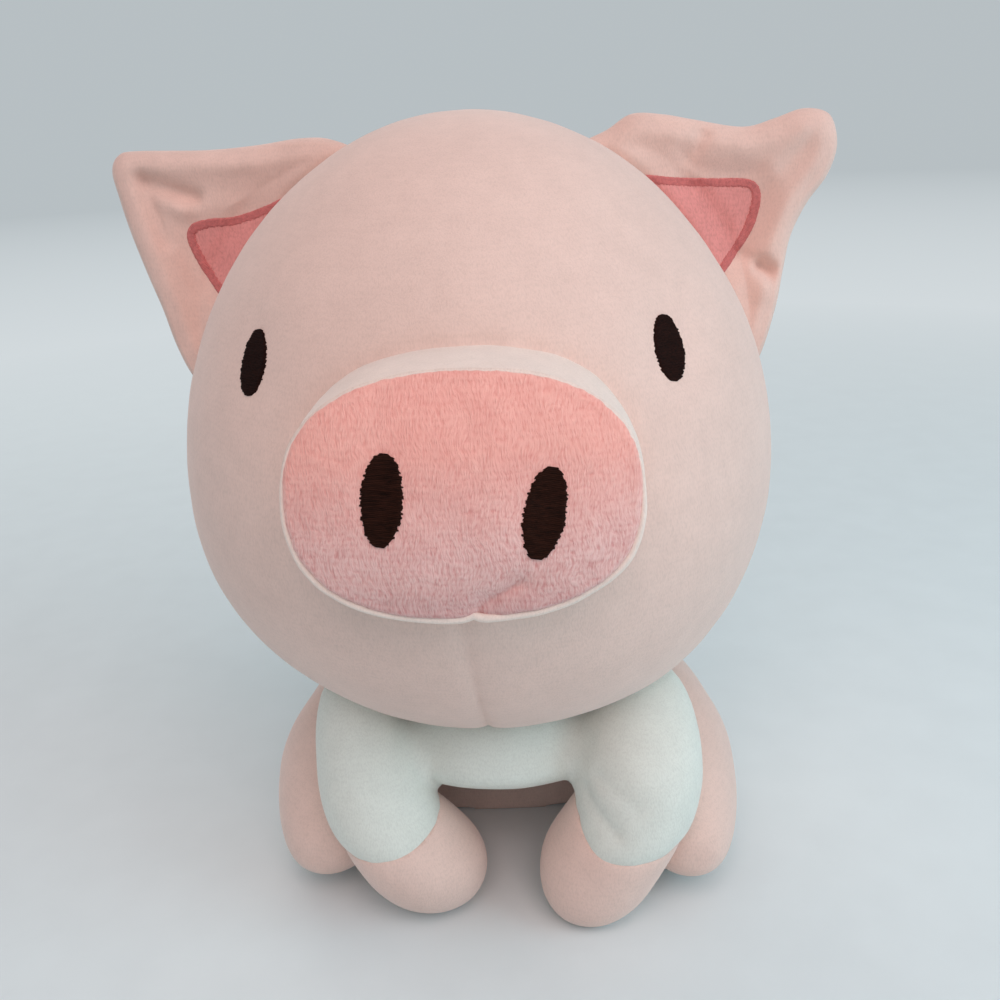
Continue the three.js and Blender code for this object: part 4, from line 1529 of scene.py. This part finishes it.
def make_stage():
    """The camera, the floor, an even sky and three lamps."""
    scene = bpy.context.scene
    studio = scene.pig_studio
    make_camera()
    make_floor(studio)
    nodes = Nodes(bpy.data.worlds.new("Sky"))
    light = nodes.add("Background", {"Color": SKY_SHADE, "Strength": studio.sky}).outputs[0]
    view = nodes.add("Background", {"Color": linear(studio.backdrop)}).outputs[0]
    sky = nodes.add("MixShader", {0: seen(nodes), 1: light, 2: view}).outputs[0]
    scene.world = nodes.finish(sky, "OutputWorld")
    lamp("Top lamp", (0.12, -0.6, 0.95), 0.9, studio.top_lamp, (1.0, 0.70, 0.655))
    lamp("Side lamp", (0.95, -0.35, 0.45), 0.7, studio.side_lamp, (0.60, 0.895, 1.0))
    lamp("Back lamp", (-0.35, 0.9, 0.8), 0.9, studio.back_lamp, (1.0, 0.88, 0.82))
    scene.view_settings.view_transform = "Standard"


# Operators and panel

class PIG_OT_stage(bpy.types.Operator):
    """Make the camera, the floor and the lamps"""
    bl_idname = "pig.stage"
    bl_label = "Set the stage"

    def execute(self, context):
        make_stage()
        return {"FINISHED"}


class PIG_OT_head(bpy.types.Operator):
    """Make the face panel, the back panels and the fill"""
    bl_idname = "pig.head"
    bl_label = "Sew the head"

    def execute(self, context):
        make_head()
        return {"FINISHED"}


class PIG_OT_snout(bpy.types.Operator):
    """Make the coral disc"""
    bl_idname = "pig.snout"
    bl_label = "Sew the snout"

    def execute(self, context):
        make_snout()
        return {"FINISHED"}


class PIG_OT_band(bpy.types.Operator):
    """Make the pale side wall of the muzzle"""
    bl_idname = "pig.band"
    bl_label = "Sew the muzzle band"

    def execute(self, context):
        make_band()
        return {"FINISHED"}


class PIG_OT_nostrils(bpy.types.Operator):
    """Make the satin-stitched nostrils"""
    bl_idname = "pig.nostrils"
    bl_label = "Stitch the nostrils"

    def execute(self, context):
        make_nostrils()
        return {"FINISHED"}


class PIG_OT_eyes(bpy.types.Operator):
    """Make the satin-stitched eyes"""
    bl_idname = "pig.eyes"
    bl_label = "Stitch the eyes"

    def execute(self, context):
        make_eyes()
        return {"FINISHED"}


class PIG_OT_ears(bpy.types.Operator):
    """Make both ears with their patches and edgings"""
    bl_idname = "pig.ears"
    bl_label = "Sew the ears"

    def execute(self, context):
        make_ears()
        return {"FINISHED"}


class PIG_OT_body(bpy.types.Operator):
    """Make the shirt, sleeves, paws and rump with their fill"""
    bl_idname = "pig.body"
    bl_label = "Sew the body"

    def execute(self, context):
        make_body()
        return {"FINISHED"}


class PIG_OT_hind_legs(bpy.types.Operator):
    """Make the hind legs and their fill"""
    bl_idname = "pig.hind_legs"
    bl_label = "Sew the hind legs"

    def execute(self, context):
        make_hind_legs()
        return {"FINISHED"}


class PIG_OT_tail(bpy.types.Operator):
    """Make the curled tail"""
    bl_idname = "pig.tail"
    bl_label = "Sew the tail"

    def execute(self, context):
        make_tail()
        return {"FINISHED"}


STEPS = [
    PIG_OT_stage, PIG_OT_head, PIG_OT_snout, PIG_OT_band, PIG_OT_nostrils, PIG_OT_eyes, PIG_OT_ears,
    PIG_OT_body, PIG_OT_hind_legs, PIG_OT_tail,
]


class PIG_PT_panel(bpy.types.Panel):
    """Sizes, colours and steps of the plush pig"""
    bl_idname = "PIG_PT_panel"
    bl_label = "Plush pig"
    bl_space_type = "VIEW_3D"
    bl_region_type = "UI"
    bl_category = "Plush pig"

    def draw(self, context):
        for group in (context.scene.pig_sizes, context.scene.pig_colours, context.scene.pig_studio):
            column = self.layout.column()
            for name in group.__annotations__:
                column.prop(group, name)
        for step in STEPS:
            self.layout.operator(step.bl_idname)


CLASSES = [PigSizes, PigColours, PigStudio, *STEPS, PIG_PT_panel]


def register():
    for cls in CLASSES:
        bpy.utils.register_class(cls)
    bpy.types.Scene.pig_sizes = PointerProperty(type=PigSizes)
    bpy.types.Scene.pig_colours = PointerProperty(type=PigColours)
    bpy.types.Scene.pig_studio = PointerProperty(type=PigStudio)


def unregister():
    del bpy.types.Scene.pig_studio
    del bpy.types.Scene.pig_colours
    del bpy.types.Scene.pig_sizes
    for cls in reversed(CLASSES):
        bpy.utils.unregister_class(cls)


def main():
    register()
    for step in STEPS:
        getattr(bpy.ops.pig, step.bl_idname.removeprefix("pig."))()


if __name__ == "__main__":
    main()
